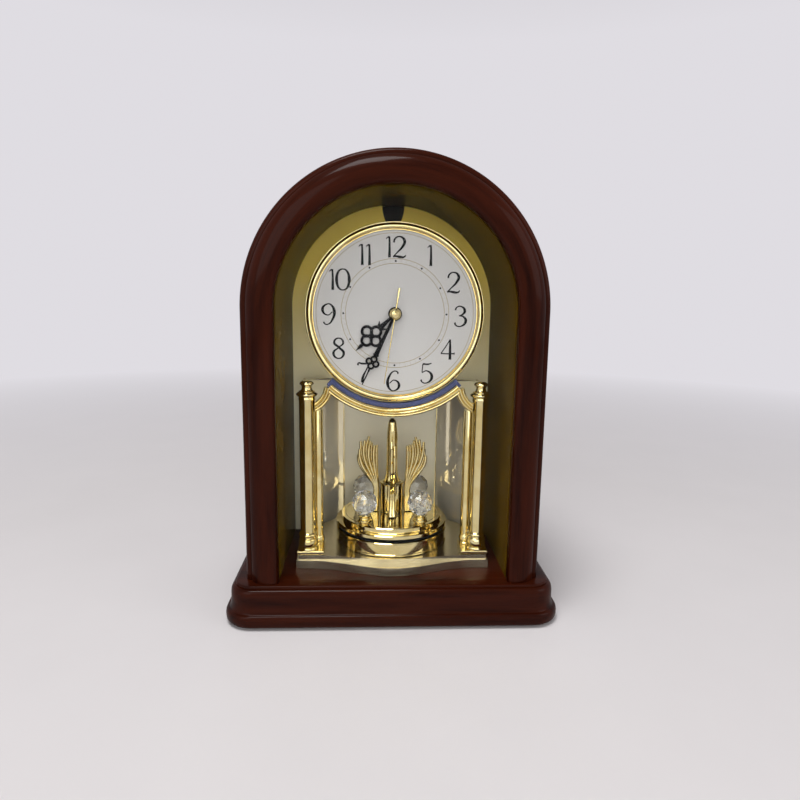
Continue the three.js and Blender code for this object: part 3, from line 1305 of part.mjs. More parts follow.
const pivotGroup = new THREE.Group();
pivotGroup.position.set(0, AXIS_Y, 0);
clock.add(pivotGroup);

function buildDrum() {
  const rimInner = TABLE_RADIUS - DRUM_BASE_WALL / 2;
  const wellInner = SPIGOT_RADIUS - SPIGOT_WALL;
  const bearing = SHAFT_RADIUS + FIT;
  const shoulderTop = DRUM_SHOULDER + DRUM_FLOOR;
  const ledge = DECK_BOTTOM - FIT;
  const drum = upright([
    [0, SPIGOT_BOTTOM],
    [SPIGOT_RADIUS, SPIGOT_BOTTOM],
    [SPIGOT_RADIUS, DRUM_SHOULDER],
    [TABLE_RADIUS, DRUM_SHOULDER],
    [TABLE_RADIUS, DRUM_TOP],
    [rimInner, DRUM_TOP],
    [rimInner, ledge],
    [rimInner - DECK_LEDGE, ledge],
    [rimInner - DECK_LEDGE, shoulderTop],
    [wellInner, shoulderTop],
    [wellInner, DRUM_FLOOR_TOP],
    [bearing + BEARING_WALL, DRUM_FLOOR_TOP],
    [bearing + BEARING_WALL, DRUM_FLOOR_TOP + BEARING_HEIGHT],
    [bearing, DRUM_FLOOR_TOP + BEARING_HEIGHT],
    [bearing, DRUM_FLOOR_TOP],
    [0, DRUM_FLOOR_TOP],
  ], RING_STEPS);
  addTo(pivotGroup, 'drum_base', drum, GOLD);
  const deckRadius = rimInner - FIT;
  const deck = upright([
    [bearing, DECK_BOTTOM],
    [deckRadius, DECK_BOTTOM],
    [deckRadius, DRUM_TOP],
    [bearing, DRUM_TOP],
    [bearing, DECK_BOTTOM],
  ], RING_STEPS);
  addTo(pivotGroup, 'drum_deck', deck, DARK_PLASTIC);
}

function crystalPlaces() {
  return Array.from({ length: CRYSTAL_COUNT }, (_, i) => {
    const angle = (i + 0.5) * 2 * Math.PI / CRYSTAL_COUNT;
    return [CRYSTAL_ORBIT * Math.cos(angle), CRYSTAL_ORBIT * Math.sin(angle)];
  });
}

function buildTurntable() {
  const step = TABLE_BOTTOM + TABLE_LOWER;
  const upperRadius = TABLE_RADIUS - TABLE_STEP;
  const table = upright([
    [0, DRUM_FLOOR_TOP + FIT],
    [SHAFT_RADIUS, DRUM_FLOOR_TOP + FIT],
    [SHAFT_RADIUS, DRUM_TOP + FIT],
    [SHAFT_COLLAR, DRUM_TOP + FIT],
    [SHAFT_COLLAR, TABLE_BOTTOM],
    [TABLE_RADIUS, TABLE_BOTTOM],
    [TABLE_RADIUS, step],
    [upperRadius, step],
    [upperRadius, TABLE_TOP],
    [0, TABLE_TOP],
  ], RING_STEPS);
  const cups = crystalPlaces().map(([x, y]) => upright([
    [0, TABLE_TOP - FIT],
    [CUP_RIM, TABLE_TOP - FIT],
    [CUP_RIM, TABLE_TOP + CUP_FOOT],
    [CUP_WAIST, TABLE_TOP + CUP_HEIGHT / 2],
    [CUP_RIM, TABLE_TOP + CUP_HEIGHT],
    [0, TABLE_TOP + CUP_HEIGHT],
  ], TURNED_STEPS).translate(x, y, 0));
  addTo(pivotGroup, 'turntable', join(table, ...cups), GOLD);

  const driveMesh = mesh([0, 0], [DRIVE_DISTANCE, 0], MOTOR_PINION_TEETH);
  const gear = gearShape(TABLE_GEAR_TEETH, DRIVE_MODULE, driveMesh.tooth, SHAFT_RADIUS + FIT);
  addTo(pivotGroup, 'turntable_gear', prism(gear, DRIVE_GEAR_BOTTOM, DRIVE_GEAR_TOP), WHITE_PLASTIC);
  const pinion = gearShape(MOTOR_PINION_TEETH, DRIVE_MODULE, driveMesh.gap, MOTOR_SHAFT_RADIUS + FIT);
  const pinionBody = prism(pinion, DRIVE_GEAR_BOTTOM, DRIVE_GEAR_TOP).translate(DRIVE_DISTANCE, 0, 0);
  addTo(pivotGroup, 'motor_pinion', pinionBody, BRASS);
  const motor = upright([
    [0, DRUM_FLOOR_TOP + FIT],
    [MOTOR_RADIUS, DRUM_FLOOR_TOP + FIT],
    [MOTOR_RADIUS, DRIVE_GEAR_BOTTOM - FIT],
    [MOTOR_SHAFT_RADIUS, DRIVE_GEAR_BOTTOM - FIT],
    [MOTOR_SHAFT_RADIUS, DRIVE_GEAR_TOP],
    [0, DRIVE_GEAR_TOP],
  ], TURNED_STEPS).translate(DRIVE_DISTANCE, 0, 0);
  addTo(pivotGroup, 'drive_motor', motor, STEEL);
}

// Ornament, in a group on top of the turntable

const ornament = new THREE.Group();
ornament.position.set(0, 0, TABLE_TOP + FIT);
pivotGroup.add(ornament);

function spireProfile() {
  const flareTop = HUB_HEIGHT + SPIRE_FLARE;
  const profile = new THREE.Path();
  profile.moveTo(0, 0);
  profile.lineTo(HUB_RADIUS, 0);
  profile.lineTo(HUB_RADIUS, HUB_HEIGHT);
  profile.lineTo(HUB_RADIUS + HUB_LIP, HUB_HEIGHT + HUB_LIP);
  profile.quadraticCurveTo(SPIRE_WAIST, HUB_HEIGHT + 2 * HUB_LIP, SPIRE_WAIST, flareTop);
  profile.quadraticCurveTo(SPIRE_WAIST, SPIRE_HEIGHT, SPIRE_POINT, SPIRE_HEIGHT - SPIRE_POINT);
  profile.lineTo(0, SPIRE_HEIGHT);
  return profile.getPoints(CURVE_STEPS).map((p) => [p.x, p.y]);
}

// Fingers of a frond, from the outermost: bend and tip, outwards from the neck and up from the turntable
const FINGER_BENDS = [[10, 27], [8.6, 33], [4.1, 36], [1.1, 36], [-1.6, 33]];
const FINGER_TIPS = [[13.8, 41], [12.6, 50], [6.1, 56], [1.1, 53], [-3, 47]];

// A ring round a place on a blade, square to its run. Blades lie flat in the plane of X and Z.
function bladeRing(place, along, wide, thick, aside) {
  return Array.from({ length: BLADE_SIDES }, (_, i) => {
    const angle = 2 * Math.PI * i / BLADE_SIDES;
    const across = wide * Math.cos(angle);
    return new THREE.Vector3(
      place.x - across * along.y,
      aside + thick * Math.sin(angle),
      place.y + across * along.x,
    );
  });
}

// A frond along +X: a flared foot, a stem close to the hub and a fan of tapering fingers.
function frond() {
  const clear = HUB_RADIUS + HUB_LIP + FIT;
  const up = new THREE.Vector2(0, 1);
  const stemRows = Array.from({ length: STEM_STEPS + 1 }, (_, k) => {
    const share = k / STEM_STEPS;
    const flare = (1 - share) ** 3;
    const wide = FROND_NECK + (FROND_FOOT - FROND_NECK) * flare;
    const thick = FROND_THICKNESS + (FROND_FOOT_THICKNESS - FROND_THICKNESS) * flare;
    return bladeRing(new THREE.Vector2(clear + wide, share * FROND_NECK_HEIGHT), up, wide, thick, 0);
  });
  const neck = clear + FROND_NECK;
  const root = new THREE.Vector2(neck, FROND_NECK_HEIGHT - FROND_NECK);
  const fingers = FINGER_TIPS.map(([reach, height], i) => {
    const bend = new THREE.Vector2(neck + FINGER_BENDS[i][0], FINGER_BENDS[i][1]);
    const curve = new THREE.QuadraticBezierCurve(root, bend, new THREE.Vector2(neck + reach, height));
    const side = i % 2 === 0 ? -FROND_STAGGER : FROND_STAGGER;
    const rows = Array.from({ length: FINGER_STEPS + 1 }, (_, k) => {
      const t = k / FINGER_STEPS;
      const thin = 1 - FINGER_TAPER * t * t;
      const wide = FINGER_WIDTH * thin;
      return bladeRing(curve.getPoint(t), curve.getTangent(t), wide, FROND_THICKNESS * thin, side * t);
    });
    return loft(rows);
  });
  return join(loft(stemRows), ...fingers);
}

// A faceted ball that stands on a flat foot.
function crystal() {
  const reach = Math.acos(CRYSTAL_SEAT / CRYSTAL_RADIUS);
  const middle = CRYSTAL_RADIUS * Math.sin(reach);
  const rows = Array.from({ length: CRYSTAL_ROWS + 1 }, (_, i) => {
    const angle = reach * (2 * i / CRYSTAL_ROWS - 1);
    return [CRYSTAL_RADIUS * Math.cos(angle), middle + CRYSTAL_RADIUS * Math.sin(angle)];
  });
  return upright([[0, 0], ...rows, [0, 2 * middle]], CRYSTAL_SIDES);
}

function buildOrnament() {
  addTo(ornament, 'spire', upright(spireProfile(), TURNED_STEPS), GOLD);
  for (let i = 0; i < FROND_COUNT; i += 1) {
    const leaf = addTo(ornament, `frond_${i + 1}`, frond(), GOLD);
    leaf.rotation.z = 2 * Math.PI * i / FROND_COUNT;
  }
  crystalPlaces().forEach(([x, y], i) => {
    const gem = addTo(ornament, `crystal_${i + 1}`, crystal(), CLEAR);
    gem.position.set(x, y, CUP_HEIGHT);
  });
}

buildBase();
buildCase();
buildRear();
buildPlatform();
buildMirrorBay();
buildColumns();
buildYoke();
buildDial();
buildHands();
buildMovementCase();
buildTrain();
buildMotionWork();
buildElectrics();
buildDrum();
buildTurntable();
buildOrnament();

export default clock;
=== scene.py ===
"""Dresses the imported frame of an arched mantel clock: wood, gold, glass, dial and ornament."""

import json
from math import asin, atan2, cos, hypot, pi, radians, sin, sqrt, tau

import bpy
from mathutils import Matrix, Vector

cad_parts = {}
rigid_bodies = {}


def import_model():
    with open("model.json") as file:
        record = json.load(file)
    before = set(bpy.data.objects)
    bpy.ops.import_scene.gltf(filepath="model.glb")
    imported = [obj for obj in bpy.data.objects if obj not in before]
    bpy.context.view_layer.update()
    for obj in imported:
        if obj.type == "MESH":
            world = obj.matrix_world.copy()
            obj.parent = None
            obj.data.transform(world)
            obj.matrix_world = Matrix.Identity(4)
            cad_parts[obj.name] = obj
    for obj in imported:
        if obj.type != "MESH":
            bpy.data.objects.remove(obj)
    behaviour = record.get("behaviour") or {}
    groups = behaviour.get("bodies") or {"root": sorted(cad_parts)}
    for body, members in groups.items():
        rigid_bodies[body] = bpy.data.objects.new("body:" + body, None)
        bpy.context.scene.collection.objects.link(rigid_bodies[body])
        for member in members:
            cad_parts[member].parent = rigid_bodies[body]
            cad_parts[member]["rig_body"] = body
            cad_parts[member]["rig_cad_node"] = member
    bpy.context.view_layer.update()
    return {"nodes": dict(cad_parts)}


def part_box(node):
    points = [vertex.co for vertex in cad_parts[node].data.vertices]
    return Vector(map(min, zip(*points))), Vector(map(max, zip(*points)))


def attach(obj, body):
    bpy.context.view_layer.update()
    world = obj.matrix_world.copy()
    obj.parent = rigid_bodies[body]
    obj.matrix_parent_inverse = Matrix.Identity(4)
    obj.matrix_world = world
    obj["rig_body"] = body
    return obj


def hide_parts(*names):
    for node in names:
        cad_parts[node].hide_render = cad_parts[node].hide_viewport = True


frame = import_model()

bl_info = {
    "name": "Arched Mantel Clock",
    "version": (1, 0, 0),
    "blender": (4, 5, 0),
    "location": "View3D > Sidebar > Clock",
    "description": "Models the wood, gold, glass and ornament of an arched mantel clock on its packed frame",
    "category": "Object",
}

MM = 0.001
WELD = 1e-6
# Clearance between pieces
GAP = 0.3 * MM
# Angles up to which edges are shaded smooth, and from which they are rounded
SMOOTH = radians(35)
TURNED_SMOOTH = radians(28)
STROKE_SMOOTH = radians(50)
BEVEL_SMOOTH = radians(60)
BEVEL_FROM = radians(32)
CORNER_STEPS = 16
ORIGIN = Vector()
X = Vector((1, 0, 0))
Y = Vector((0, 1, 0))
Z = Vector((0, 0, 1))


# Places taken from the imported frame

def low(node):
    """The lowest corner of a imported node."""
    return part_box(node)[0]


def high(node):
    """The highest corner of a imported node."""
    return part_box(node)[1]


def middle(node):
    """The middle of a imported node's box."""
    return (low(node) + high(node)) / 2


FOOT = low("arch_frame").z
ARCH_RADIUS = high("arch_frame").x
SPRING = high("arch_frame").z - ARCH_RADIUS
DIAL = Vector((0, low("dial_plate").y, middle("dial_plate").z))
DIAL_AXIS = Vector((0, 0, DIAL.z))


# Sizes and colours that a user would change

def size(name, text, mm):
    """A length in a property group, given in millimetres."""
    return bpy.props.FloatProperty(name=name, description=text, default=mm * MM, unit="LENGTH", precision=5)


def turn(name, text, angle):
    """An angle in a property group, given in degrees."""
    return bpy.props.FloatProperty(name=name, description=text, default=radians(angle), subtype="ANGLE")


def count(name, text, number):
    """A number of like things in a property group."""
    return bpy.props.IntProperty(name=name, description=text, default=number, min=1)


def level(name, text, amount):
    """A strength in a property group."""
    return bpy.props.FloatProperty(name=name, description=text, default=amount, min=0.0)


def colour(name, text, *rgb):
    """A colour in a property group."""
    return bpy.props.FloatVectorProperty(
        name=name, description=text, default=rgb, size=3, subtype="COLOR", min=0.0, max=1.0
    )


class CaseSizes(bpy.types.PropertyGroup):
    """Sizes of the wood case and of what lines it."""

    sight_radius: size("Sight radius", "Radius of the opening in the front moulding", 74.0)
    sight_round: size("Sight rounding", "Rounding of the moulding's inner edge", 3.4)
    face_width: size("Face width", "From the opening to the quirk beside the bead", 17.2)
    face_fall: size("Face fall", "How far the moulded face falls back to the quirk", 6.0)
    quirk: size("Quirk", "Depth of the groove between the face and the bead", 1.3)
    bead_round: size("Bead rounding", "Rounding of the outer bead", 5.0)
    rebate: size("Rebate", "Width of the seat that the glass rests in", 3.5)
    hoop_round: size("Hoop rounding", "Rounding of the case's rear corner", 2.0)
    hoop_ledge: size("Hoop ledge", "Width of the ledge that the rear cover lies on", 7.0)
    plinth_corner: size("Plinth corner", "Corner radius of the base", 19.0)
    plinth_toe: size("Plinth toe", "How far the foot of the base is rounded in", 2.2)
    plinth_nose: size("Plinth nose", "Height of the base's full round nose", 8.2)
    plinth_cove: size("Plinth cove", "How far the hollow of the base goes in", 3.6)
    plinth_step: size("Plinth step", "How far the top of the base steps in", 7.0)
    notch_top: size("Notch top", "Width of the notch at the top of the back panel", 16.0)
    notch_foot: size("Notch foot", "Width of the notch at its lower end", 10.0)
    notch_depth: size("Notch depth", "Depth of the notch", 14.0)
    bay_half: size("Bay opening", "Half the width of the opening for the mirrors", 52.3)
    bay_height: size("Bay height", "Top of the opening for the mirrors, from the table", 147.7)
    arch_steps: count("Arch steps", "Number of faces round the arch", 96)


class FittingSizes(bpy.types.PropertyGroup):
    """Sizes of the gold fittings in the chamber."""

    platform_front: size("Platform front", "From the axis to the front of the platform's ends", 36.6)
    platform_swell: size("Lower swell", "How far the lower tier's middle swells forwards", 12.8)
    platform_rise: size("Upper swell", "How far the upper tier's middle swells forwards", 6.5)
    platform_lower: size("Lower tier", "Height of the platform's lower tier", 5.6)
    platform_step: size("Tier step", "How far the upper tier steps in at the ends", 1.3)
    tongue_front: size("Tongue front", "Half the width of the platform's tongue at the bay's mouth", 59.3)
    tongue_back: size("Tongue back", "Half the width of the platform's tongue at its end", 36.1)
    column_x: size("Column place", "From the middle of the clock to a column", 57.6)
    column_y: size("Column depth", "From the axis forwards to a column", 28.0)
    slim_x: size("Slim column place", "From the middle of the clock to a slim column", 51.3)
    slim_y: size("Slim column depth", "From the axis forwards to a slim column", 20.0)
    yoke_inner: size("Yoke radius", "Inner radius of the yoke below the dial", 61.7)
    yoke_width: size("Yoke width", "Width of the reeded moulding", 6.0)
    yoke_fall: size("Yoke fall", "How far the reeds fall back to the outer edge", 2.4)
    yoke_reed: size("Reed height", "Height of each reed", 1.1)
    yoke_reeds: count("Reeds", "Number of reeds on the yoke", 3)
    yoke_reach: turn("Yoke reach", "Half the angle of the yoke's middle arc", 41.77)
    swag_radius: size("Swag radius", "Radius of the side swags", 16.87)
    collar_reach: turn("Collar reach", "Half the angle of the blue crescent", 43.8)


class DialSizes(bpy.types.PropertyGroup):
    """Sizes of the dial, its print and its hands."""

    hole: size("Hand hole", "Radius of the hole in the dial", 3.1)
    numeral_height: size("Numeral height", "Height of the numerals", 13.4)
    numeral_orbit: size("Numeral orbit", "From the dial's middle to the numerals' middles", 43.6)
    print_height: size("Print height", "How far the print stands off the dial", 0.06)
    track_inner: size("Track inside", "Radius of the minute track's inner line", 32.4)
    track_outer: size("Track outside", "Radius of the minute track's outer line", 35.4)
    rim_line: size("Rim line", "Radius of the fine line near the bezel", 51.6)
    hour_turn: turn("Hour hand", "Angle of the hour hand, clockwise from 12", 226.5)
    minute_turn: turn("Minute hand", "Angle of the minute hand, clockwise from 12", 204.6)
    second_turn: turn("Second hand", "Angle of the second hand, clockwise from 12", 188.5)
    hour_length: size("Hour hand length", "From the axis to the hour hand's tip", 35.4)
    hour_flower: size("Hour flower", "From the axis to the middle of the hour hand's rings", 21.3)
    hour_lobe: size("Hour lobe", "From the middle of the rings to each ring", 4.25)
    minute_length: size("Minute hand length", "From the axis to the minute hand's tip", 51.6)
    minute_flower: size("Minute flower", "From the axis to the middle of the minute hand's rings", 35.1)
    minute_lobe: size("Minute lobe", "From the middle of the rings to each ring", 2.4)
    second_length: size("Second hand length", "From the axis to the second hand's tip", 46.4)
    second_tail: size("Second hand tail", "From the axis to the end of the tail", 16.7)


class OrnamentSizes(bpy.types.PropertyGroup):
    """Sizes of the turning ornament."""

    table_radius: size("Table radius", "Radius of the turntable's rim", 40.0)
    table_upper: size("Table top radius", "Radius of the turntable's upper step", 36.5)
    shaft_radius: size("Shaft radius", "Radius of the turntable's shaft", 2.5)
    crystal_orbit: size("Crystal orbit", "From the axis to each crystal", 27.4)
    crystal_radius: size("Crystal radius", "Radius of a cut crystal", 9.0)
    finger_thick: size("Finger thickness", "Radius of a finger at its middle", 1.15)


class FinishColours(bpy.types.PropertyGroup):
    """Colours of the finishes."""

    wood_dark: colour("Wood, dark", "Dark streaks of the stained wood", 0.009, 0.0010, 0.0003)
    wood_light: colour("Wood, light", "Light streaks of the stained wood", 0.038, 0.0060, 0.0016)
    gold: colour("Gold", "Plated and polished metal", 0.80, 0.68, 0.37)
    gold_deep: colour("Gold, deep", "Thin places of the plating", 0.68, 0.53, 0.21)
    gold_pale: colour("Gold, pale", "Softer plating of the platform", 0.58, 0.52, 0.38)
    gold_dull: colour("Gold, dull", "Thin places of the softer plating", 0.5104, 0.4576, 0.3344)
    # The panel's paler low tone is a painted sheen of the light from the front, and the deeper gold above it
    # is partly painted shade under the arch
    panel: colour("Panel gold", "Satin sheet above the dial", 0.95, 0.68, 0.08)
    panel_low: colour("Panel gold, low", "Paler satin sheet below the dial", 0.97, 0.92, 0.70)
    # The lining's dark olive is painted shade: it stands for a gold film that looks dark from mirroring the
    # dim room
    lining: colour("Lining", "Glossy olive sheet round the chamber", 0.070, 0.037, 0.002)
    # The side mirrors' warm tint is partly the glass's own and partly a painted reflection of cream
    # surroundings
    mirror: colour("Mirror", "Silvered glass at the sides of the bay", 0.97, 0.91, 0.76)
    silver: colour("Satin silver", "Satin silvered glass in the middle of the bay", 0.76, 0.70, 0.54)
    collar: colour("Collar", "Slate blue crescent below the dial", 0.050, 0.060, 0.14)
    dial: colour("Dial", "Pale dial card", 0.415, 0.40, 0.393)
    ink: colour("Ink", "Numerals and hands", 0.004, 0.004, 0.005)
    olive_ink: colour("Olive ink", "Fine lines on the dial", 0.20, 0.15, 0.035)
    glass: colour("Glass", "Front pane", 0.99, 1.0, 0.99)
    crystal: colour("Crystal", "Cut crystal", 0.98, 0.985, 0.99)
    board: colour("Rear board", "Dark board at the back", 0.022, 0.017, 0.014)
    felt: colour("Felt", "Felt under the base", 0.012, 0.010, 0.010)
    steel: colour("Steel", "Screws, pins and contacts", 0.50, 0.50, 0.52)
    brass: colour("Brass", "Brass wheels and pipes", 0.72, 0.50, 0.18)
    copper: colour("Copper", "Winding of the coil", 0.62, 0.23, 0.09)
    black_plastic: colour("Black plastic", "Housings of the works", 0.014, 0.014, 0.015)
    white_plastic: colour("White plastic", "Moulded wheels", 0.62, 0.61, 0.58)
    circuit: colour("Circuit board", "Green lacquer of the board", 0.015, 0.12, 0.045)
    sleeve: colour("Battery sleeve", "Plain sleeve of the battery", 0.05, 0.055, 0.065)


class StageSizes(bpy.types.PropertyGroup):
    """Camera, lamps and floor."""

    camera_place: bpy.props.FloatVectorProperty(
        name="Camera", description="Where the camera stands", default=(-0.015832, -0.430879, 0.210071),
        size=3, subtype="XYZ", unit="LENGTH", precision=6,
    )
    camera_yaw: turn("Yaw", "How far the camera looks to the right", 2.7906)
    camera_pitch: turn("Pitch", "How far the camera looks down", 9.6122)
    camera_roll: turn("Roll", "How far the camera is tilted", 0.8344)
    lens: level("Lens", "Focal length in millimetres for a 36 mm sensor", 27.746)
    top_lamp: level("Top lamp", "Power of the softbox overhead in watts", 19.0)
    left_lamp: level("Left lamp", "Power of the softbox on the left in watts", 8.0)
    front_lamp: level("Front lamp", "Power of the softbox in front in watts", 22.0)
    right_lamp: level("Right lamp", "Power of the softbox on the right in watts", 6.0)
    floor: colour("Floor", "Pale floor", 0.74, 0.71, 0.715)
    wall: colour("Wall", "Pale surroundings at eye level", 0.74, 0.72, 0.76)
    ceiling: colour("Ceiling", "Dimmer surroundings overhead", 0.30, 0.29, 0.28)
    shade: colour("Shade", "Dim end of the room in front of the clock", 0.52, 0.51, 0.49)
    ambient: level("Ambient", "Share of the surroundings that lights matt surfaces", 0.5)


GROUPS = {
    "clock_case": CaseSizes,
    "clock_fittings": FittingSizes,
    "clock_dial": DialSizes,
    "clock_ornament": OrnamentSizes,
    "clock_colours": FinishColours,
    "clock_stage": StageSizes,
}


# Lines and curves

def quadratic(a, b, c, steps=8):
    """Points on a curve from a to c that leans towards b."""
    shares = [i / steps for i in range(steps + 1)]
    return [Vector(a) * (1 - t) ** 2 + Vector(b) * (2 * t * (1 - t)) + Vector(c) * t * t for t in shares]


def path(*stretches):
    """Strings stretches of points together in metres, without repeats. Points are given in millimetres."""
    joined = []
    for stretch in stretches:
        for point in stretch:
            here = Vector(point) * MM
            if not joined or (here - joined[-1]).length > WELD:
                joined.append(here)
    return joined


def arch_outline(radius, y, foot):
    """The outline of an arch, from its right foot over the top to its left foot."""
    steps = bpy.context.scene.clock_case.arch_steps
    angles = [pi * i / steps for i in range(steps + 1)]
    over = [Vector((radius * cos(a), y, SPRING + radius * sin(a))) for a in angles]
    return [Vector((radius, y, foot)), *over, Vector((-radius, y, foot))]


def ring_of_points(centre, radius, steps, first, second):
    """A closed ring of points round a centre, in the plane of two directions."""
    angles = [tau * i / steps for i in range(steps)]
    return [centre + (first * cos(a) + second * sin(a)) * radius for a in angles]


# Modelling by hand

def deselect():
    """Leaves edit mode and clears the selection, so that an operator acts on new work only."""
    if bpy.context.object and bpy.context.object.mode != "OBJECT":
        bpy.ops.object.mode_set(mode="OBJECT")
    bpy.ops.object.select_all(action="DESELECT")


def pick(*pieces):
    """Selects these pieces alone, with the first as the active one."""
    deselect()
    for piece in pieces:
        piece.select_set(True)
    bpy.context.view_layer.objects.active = pieces[0]


def select_mesh():
    """Selects the whole mesh that is open."""
    bpy.ops.mesh.select_all(action="SELECT")


def open_up():
    """Opens the active piece in edit mode, with all of it selected."""
    bpy.ops.object.mode_set(mode="EDIT")
    select_mesh()


def add_vertex(place):
    """Adds one vertex to the mesh that is open."""
    bpy.ops.mesh.select_all(action="DESELECT")
    bpy.ops.mesh.primitive_plane_add(size=MM)
    bpy.ops.mesh.merge(type="CENTER")
    bpy.ops.transform.translate(value=place)


def begin(name, first):
    """Starts a piece in edit mode from one vertex."""
    deselect()
    bpy.ops.mesh.primitive_plane_add(size=MM, enter_editmode=True)
    bpy.context.object.name = name
    select_mesh()
    bpy.ops.mesh.merge(type="CENTER")
    bpy.ops.transform.translate(value=first)
    return bpy.context.object


def draw(points):
    """Draws edges on from the selected vertex, point by point."""
    for here, there in zip(points, points[1:]):
        bpy.ops.mesh.extrude_vertices_move(TRANSFORM_OT_translate={"value": there - here})


def trace(name, points):
    """Starts a piece from a line of edges, all of them selected."""
    piece = begin(name, points[0])
    draw(points)
    select_mesh()
    return piece


def draw_run(way):
    """Extrudes the selected edges along a straight run."""
    bpy.ops.mesh.extrude_edges_move(TRANSFORM_OT_translate={"value": way})


def push(way):
    """Extrudes the selected faces."""
    bpy.ops.mesh.extrude_region_move(TRANSFORM_OT_translate={"value": way})


def spin(steps, angle, centre, axis):
    """Spins the selected edges by the right-hand rule."""
    bpy.ops.mesh.spin(steps=steps, angle=angle, center=centre, axis=-Vector(axis))


def weld():
    """Merges the vertices of the open mesh that share a place, and selects all of it."""
    select_mesh()
    bpy.ops.mesh.remove_doubles(threshold=WELD)
    select_mesh()


def close_up(capped=False):
    """Welds seams, closes open ends where asked and turns every face outwards."""
    weld()
    if capped:
        bpy.ops.mesh.fill_holes(sides=0)
        select_mesh()
    bpy.ops.mesh.normals_make_consistent(inside=False)


def done(piece, angle=SMOOTH):
    """Leaves edit mode and shades the piece smooth up to an angle."""
    bpy.ops.object.mode_set(mode="OBJECT")
    bpy.ops.object.shade_smooth_by_angle(angle=angle)
    return piece


def apply_modifier(piece, kind, **settings):
    """Adds a modifier, sets it and applies it."""
    modifier = piece.modifiers.new(kind.lower(), kind)
    for label, value in settings.items():
        setattr(modifier, label, value)
    bpy.context.view_layer.objects.active = piece
    bpy.ops.object.modifier_apply(modifier=modifier.name)


def combine(piece, tool, operation):
    """Joins or cuts a piece with another one, which is used up."""
    apply_modifier(piece, "BOOLEAN", object=tool, operation=operation, solver="EXACT")
    bpy.data.objects.remove(tool)


def rounded(piece, width, segments=3, angle=BEVEL_FROM):
    """Rounds the piece's sharp edges and keeps its flat faces flat in the light."""
    apply_modifier(
        piece, "BEVEL", width=width, segments=segments, limit_method="ANGLE", angle_limit=angle,
        miter_outer="MITER_ARC",
    )
    bpy.ops.object.shade_smooth_by_angle(angle=BEVEL_SMOOTH)
    apply_modifier(piece, "WEIGHTED_NORMAL", keep_sharp=True, weight=60)
    return piece


def turned(name, profile, centre, axis, steps=96, angle=SMOOTH):
    """Turns a profile of radius and way along the axis, as on a lathe."""
    piece = trace(name, [centre + X * radius + axis * way for radius, way in profile])
    spin(steps, tau, centre, axis)
    close_up(capped=True)
    return done(piece, angle)


def arch_sweep(name, section):
    """Sweeps a closed section of radius and depth up one leg, over the arch and down the other leg."""
    steps = bpy.context.scene.clock_case.arch_steps
    piece = trace(name, [Vector((-radius, depth, FOOT)) for radius, depth in section])
    draw_run(Z * (SPRING - FOOT))
    spin(steps, pi, Z * SPRING, Y)
    draw_run(Z * (FOOT - SPRING))
    close_up(capped=True)
    return done(piece)


def mould_round(name, profile, half_x, half_y, corner):
    """Sweeps a profile of inset and height round a rectangle with round corners."""
    run_x = half_x - corner
    run_y = half_y - corner
    piece = trace(name, [Vector((run_x, inset - half_y, height)) for inset, height in profile])
    sides = ((1, -1, Y * run_y), (1, 1, -X * run_x), (-1, 1, -Y * run_y), (-1, -1, X * run_x))
    for side_x, side_y, way in sides:
        spin(CORNER_STEPS, pi / 2, (side_x * run_x, side_y * run_y, 0), Z)
        draw_run(way * 2)
    close_up(capped=True)
    return done(piece)


def plate(name, outline, way, holes=()):
    """A flat plate: a closed outline with holes, filled and pushed to its thickness."""
    piece = begin(name, outline[0])
    draw([*outline, outline[0]])
    for hole in holes:
        add_vertex(hole[0])
        draw([*hole, hole[0]])
    weld()
    if holes:
        bpy.ops.mesh.fill()
    else:
        bpy.ops.mesh.edge_face_add()
    select_mesh()
    push(way)
    close_up()
    return done(piece)


def block(name, lowest, highest):
    """A block between two corners."""
    deselect()
    bpy.ops.mesh.primitive_cube_add(size=1, enter_editmode=True)
    piece = bpy.context.object
    piece.name = name
    select_mesh()
    bpy.ops.transform.resize(value=Vector(highest) - Vector(lowest), center_override=(0, 0, 0))
    bpy.ops.transform.translate(value=(Vector(highest) + Vector(lowest)) / 2)
    return done(piece)


def strokes(name, lines, resolution=8, sides=2):
    """Round strokes along curves. A line is a list of places with half widths, and whether it closes."""
    deselect()
    bpy.ops.curve.primitive_bezier_curve_add(radius=MM)
    piece = bpy.context.object
    piece.name = name
    curve = piece.data
    curve.splines.clear()
    curve.dimensions = "3D"
    curve.bevel_depth = 1.0
    curve.bevel_resolution = sides
    curve.resolution_u = resolution
    curve.use_fill_caps = True
    for points, closed in lines:
        spline = curve.splines.new("BEZIER")
        spline.bezier_points.add(len(points) - 1)
        for knot, (place, half) in zip(spline.bezier_points, points):
            knot.co = place
            knot.handle_left_type = "AUTO"
            knot.handle_right_type = "AUTO"
            knot.radius = half
        spline.use_cyclic_u = closed
    bpy.ops.object.convert(target="MESH")
    piece = bpy.context.object
    open_up()
    close_up()
    return done(piece, STROKE_SMOOTH)


def flatten(piece, depth, thickness, half):
    """Presses strokes of a given half width flat against a depth along Y."""
    open_up()
    bpy.ops.transform.resize(value=(1, thickness / (2 * half), 1), center_override=(0, depth, 0))
    return done(piece, STROKE_SMOOTH)


def joined(name, *parts):
    """Joins parts into one piece."""
    pick(*parts)
    bpy.ops.object.join()
    piece = bpy.context.object
    piece.name = name
    return piece


def copied(piece, name, change):
    """Copies a piece with its own mesh, and moves or turns the copy's mesh."""
    pick(piece)
    bpy.ops.object.duplicate()
    twin = bpy.context.object
    twin.name = name
    twin.matrix_world = change @ twin.matrix_world
    bpy.ops.object.transform_apply(location=True, rotation=True, scale=True)
    return twin


def four_round(piece, stem):
    """A piece and its three copies at quarter turns round the axis, with their numbers from one."""
    pieces = [piece]
    for quarter in (1, 2, 3):
        pieces.append(copied(piece, f"{stem}_{quarter + 1}", Matrix.Rotation(quarter * pi / 2, 4, "Z")))
    return enumerate(pieces, 1)


